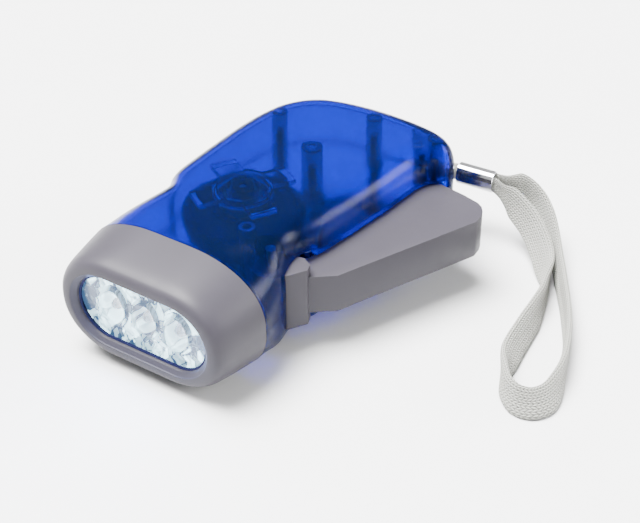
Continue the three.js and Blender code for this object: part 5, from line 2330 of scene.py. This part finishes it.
@dataclass
class Works:
    """The generator, gears and fasteners that keep their CAD solids, and the turned pieces that show."""

    finishes: Finishes
    case_screws: int = 5
    plate_screws: int = 3
    wheel_bevel: float = 0.5
    wheel_groove: tuple[Flat, ...] = ((14.6, 8.6), (14.2, 8.2), (8.4, 8.2), (8.0, 8.6))

    def _dress(self, material: Material, *nodes: str) -> None:
        """Gives CAD nodes a finish.

        Args:
            material: The finish.
            nodes: The nodes.
        """
        for name in nodes:
            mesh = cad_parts[name].data
            mesh.materials.clear()
            mesh.materials.append(material)

    def _dress_all(self) -> None:
        """Dresses the CAD nodes that stay."""
        f = self.finishes
        self._dress(f.led, "led_left", "led_middle", "led_right")
        self._dress(f.board, "led_board")
        self._dress(f.red, "lead_red")
        self._dress(f.black, "lead_black")
        self._dress(f.nylon, "sector_gear", "drive_pinion", "first_gear", "second_gear", "coil_bobbin")
        self._dress(f.steel, "pivot_pin", "return_spring", "second_shaft", "gear_plate", "strap_pin")
        self._dress(f.steel, *[f"case_screw_{i + 1}" for i in range(self.case_screws)])
        self._dress(f.steel, *[f"plate_screw_{i + 1}" for i in range(self.plate_screws)])
        self._dress(f.dark_steel, "lower_yoke", "upper_yoke")
        self._dress(f.brass, "ratchet_pawls", "rotor_pinion", "rotor_bush_bottom")
        self._dress(f.copper, "coil_winding")
        self._dress(f.ferrite, "ring_magnet")

    def build(self) -> None:
        """Dresses the CAD nodes and builds the turned pieces."""
        f = self.finishes
        self._dress_all()
        wheel = Round("flywheel", "dark_steel", "rotor", f.dark_steel, radius=16.7, low=5.0, high=8.6)
        wheel.bevel, wheel.groove = self.wheel_bevel, self.wheel_groove
        hub = Round("flywheel_hub", "brass", "rotor", f.brass, radius=6.4, low=8.9, high=11.2)
        bush = Round("rotor_bush_top", "brass", "case", f.bronze, radius=3.0, low=12.5, high=15.3)
        shaft = Round("rotor_shaft", "steel", "rotor", f.steel, radius=1.0, low=-15.1, high=15.1, bore=0.0)
        for piece in (wheel, hub, bush, shaft):
            piece.build()


# The studio


@dataclass
class Lamp:
    """A soft rectangular light."""

    name: str
    size: Flat
    power: float
    colour: Colour = WHITE
    seen: bool = True

    def place(self, at: Vector, back: Vector) -> None:
        """Adds the light to the scene.

        Args:
            at: Where it is.
            back: The direction that it faces away from.
        """
        data = bpy.data.lights.new(self.name, "AREA")
        data.shape = "RECTANGLE"
        data.size, data.size_y = self.size
        data.energy = self.power
        data.color = self.colour
        lamp = bpy.data.objects.new(self.name, data)
        lamp.location = at
        lamp.rotation_euler = back.to_track_quat("Z", "Y").to_euler()
        lamp.visible_camera = self.seen
        bpy.context.scene.collection.objects.link(lamp)


@dataclass
class Studio:
    """Pale floor, soft light and the camera at the photograph's angle."""

    target: Place = (0.01095, -0.00354, 0.0174)
    azimuth: float = 33.6
    elevation: float = 35.8
    distance: float = 0.4
    lens: float = 84.375
    sensor: float = 36.0
    clip: Flat = (0.01, 20.0)
    floor_side: float = 8.0
    floor_colours: tuple[Colour, Colour] = ((0.6, 0.6, 0.602), (0.62, 0.62, 0.622))
    floor_roughness: float = 0.7
    floor_spots_per_metre: float = 40.0
    sky_light: float = 0.7
    overhead: Place = (-0.28, -0.08, 0.95)
    overhead_size: Flat = (0.48, 0.48)
    overhead_light: float = 125.0
    side_box: Place = (0.72, 0.58, 0.35)
    side_box_size: Flat = (0.38, 0.32)
    side_box_light: float = 36.0
    box_edge: float = 4.0
    fill: Lamp = field(default_factory=lambda: Lamp("left_fill", (0.6, 0.5), 0.8))
    fill_side: Place = (-0.9, -0.2, 0.5)
    fill_distance: float = 0.9
    glow: Lamp = field(
        default_factory=lambda: Lamp("lens_glow", (0.034, 0.015), 0.035, (0.25, 0.42, 1.0), seen=False)
    )
    glow_at: Place = (0.0, 0.1, 0.0)

    def _camera(self) -> None:
        """Makes the camera."""
        a, e = math.radians(self.azimuth), math.radians(self.elevation)
        back = Vector((math.sin(a) * math.cos(e), -math.cos(a) * math.cos(e), math.sin(e)))
        data = bpy.data.cameras.new("camera")
        data.lens, data.sensor_width = self.lens, self.sensor
        data.clip_start, data.clip_end = self.clip
        camera = bpy.data.objects.new("camera", data)
        camera.location = Vector(self.target) + back * self.distance
        camera.rotation_euler = (-back).to_track_quat("-Z", "Y").to_euler()
        bpy.context.scene.collection.objects.link(camera)
        bpy.context.scene.camera = camera

    def _floor(self) -> None:
        """Makes the floor."""
        Bench.clear()
        bpy.ops.mesh.primitive_plane_add(size=self.floor_side, location=(0, 0, 0))
        floor = bpy.context.object
        floor.name = "floor"
        desk = Desk("pale_floor")
        spots = desk.noise(desk.place(), self.floor_spots_per_metre)
        colour = desk.blend(spots, *self.floor_colours)
        floor.data.materials.append(desk.dress(Base_Color=colour, Roughness=self.floor_roughness))

    def _soft_box(self, desk: SkyDesk, centre: Place, size: Flat) -> Wire:
        """A bright patch of the sky that fades out towards its edge.

        Args:
            desk: The sky's desk.
            centre: The direction of its middle.
            size: Half its width and half its height, as sines.

        Returns:
            Its share of light: 1 in its middle and 0 outside it.
        """
        middle = Vector(centre).normalized()
        across = middle.cross(Vector((0, 0, 1))).normalized()
        towards = desk.wire("ShaderNodeTexCoord", {}, {}, 0)
        side, rise, ahead = [
            desk.wire("ShaderNodeVectorMath", {"operation": "DOT_PRODUCT"}, {0: towards, 1: tuple(axis)}, 1)
            for axis in (across, across.cross(middle), middle)
        ]
        side, rise = side / size[0], rise / size[1]
        inside = (1.0 - side * side - rise * rise).clipped() * (ahead * self.box_edge).clipped()
        return inside * inside

    def _sky(self) -> None:
        """Makes the even white surroundings and the two soft boxes in them."""
        world = bpy.data.worlds.new("white_room")
        world.use_nodes = True
        desk = SkyDesk(world)
        light = self._soft_box(desk, self.overhead, self.overhead_size) * self.overhead_light
        light = light + self._soft_box(desk, self.side_box, self.side_box_size) * self.side_box_light
        desk.feed(desk.shader.inputs["Strength"], light + self.sky_light)
        desk.feed(desk.shader.inputs["Color"], WHITE)
        bpy.context.scene.world = world

    def _lights(self) -> None:
        """Adds the fill light, and the glow that the lens throws on the lip round it."""
        self.glow.place(torch_place() @ Vector(self.glow_at), Vector((0.0, 1.0, 0.0)))
        side = Vector(self.fill_side).normalized()
        self.fill.place(Vector(self.target) + side * self.fill_distance, side)

    def build(self) -> None:
        """Sets up the studio."""
        self._camera()
        self._floor()
        self._sky()
        self._lights()


def main() -> None:
    """Builds the torch and its studio."""
    logging.basicConfig(level=logging.INFO, format="%(name)s %(message)s")
    Studio().build()
    finishes, body = Finishes(), Body()
    Strap(finishes).build()
    Works(finishes).build()
    Head(body, finishes).build()
    Lever(finishes).build()
    Case(body, finishes).build()


if __name__ == "__main__":
    main()
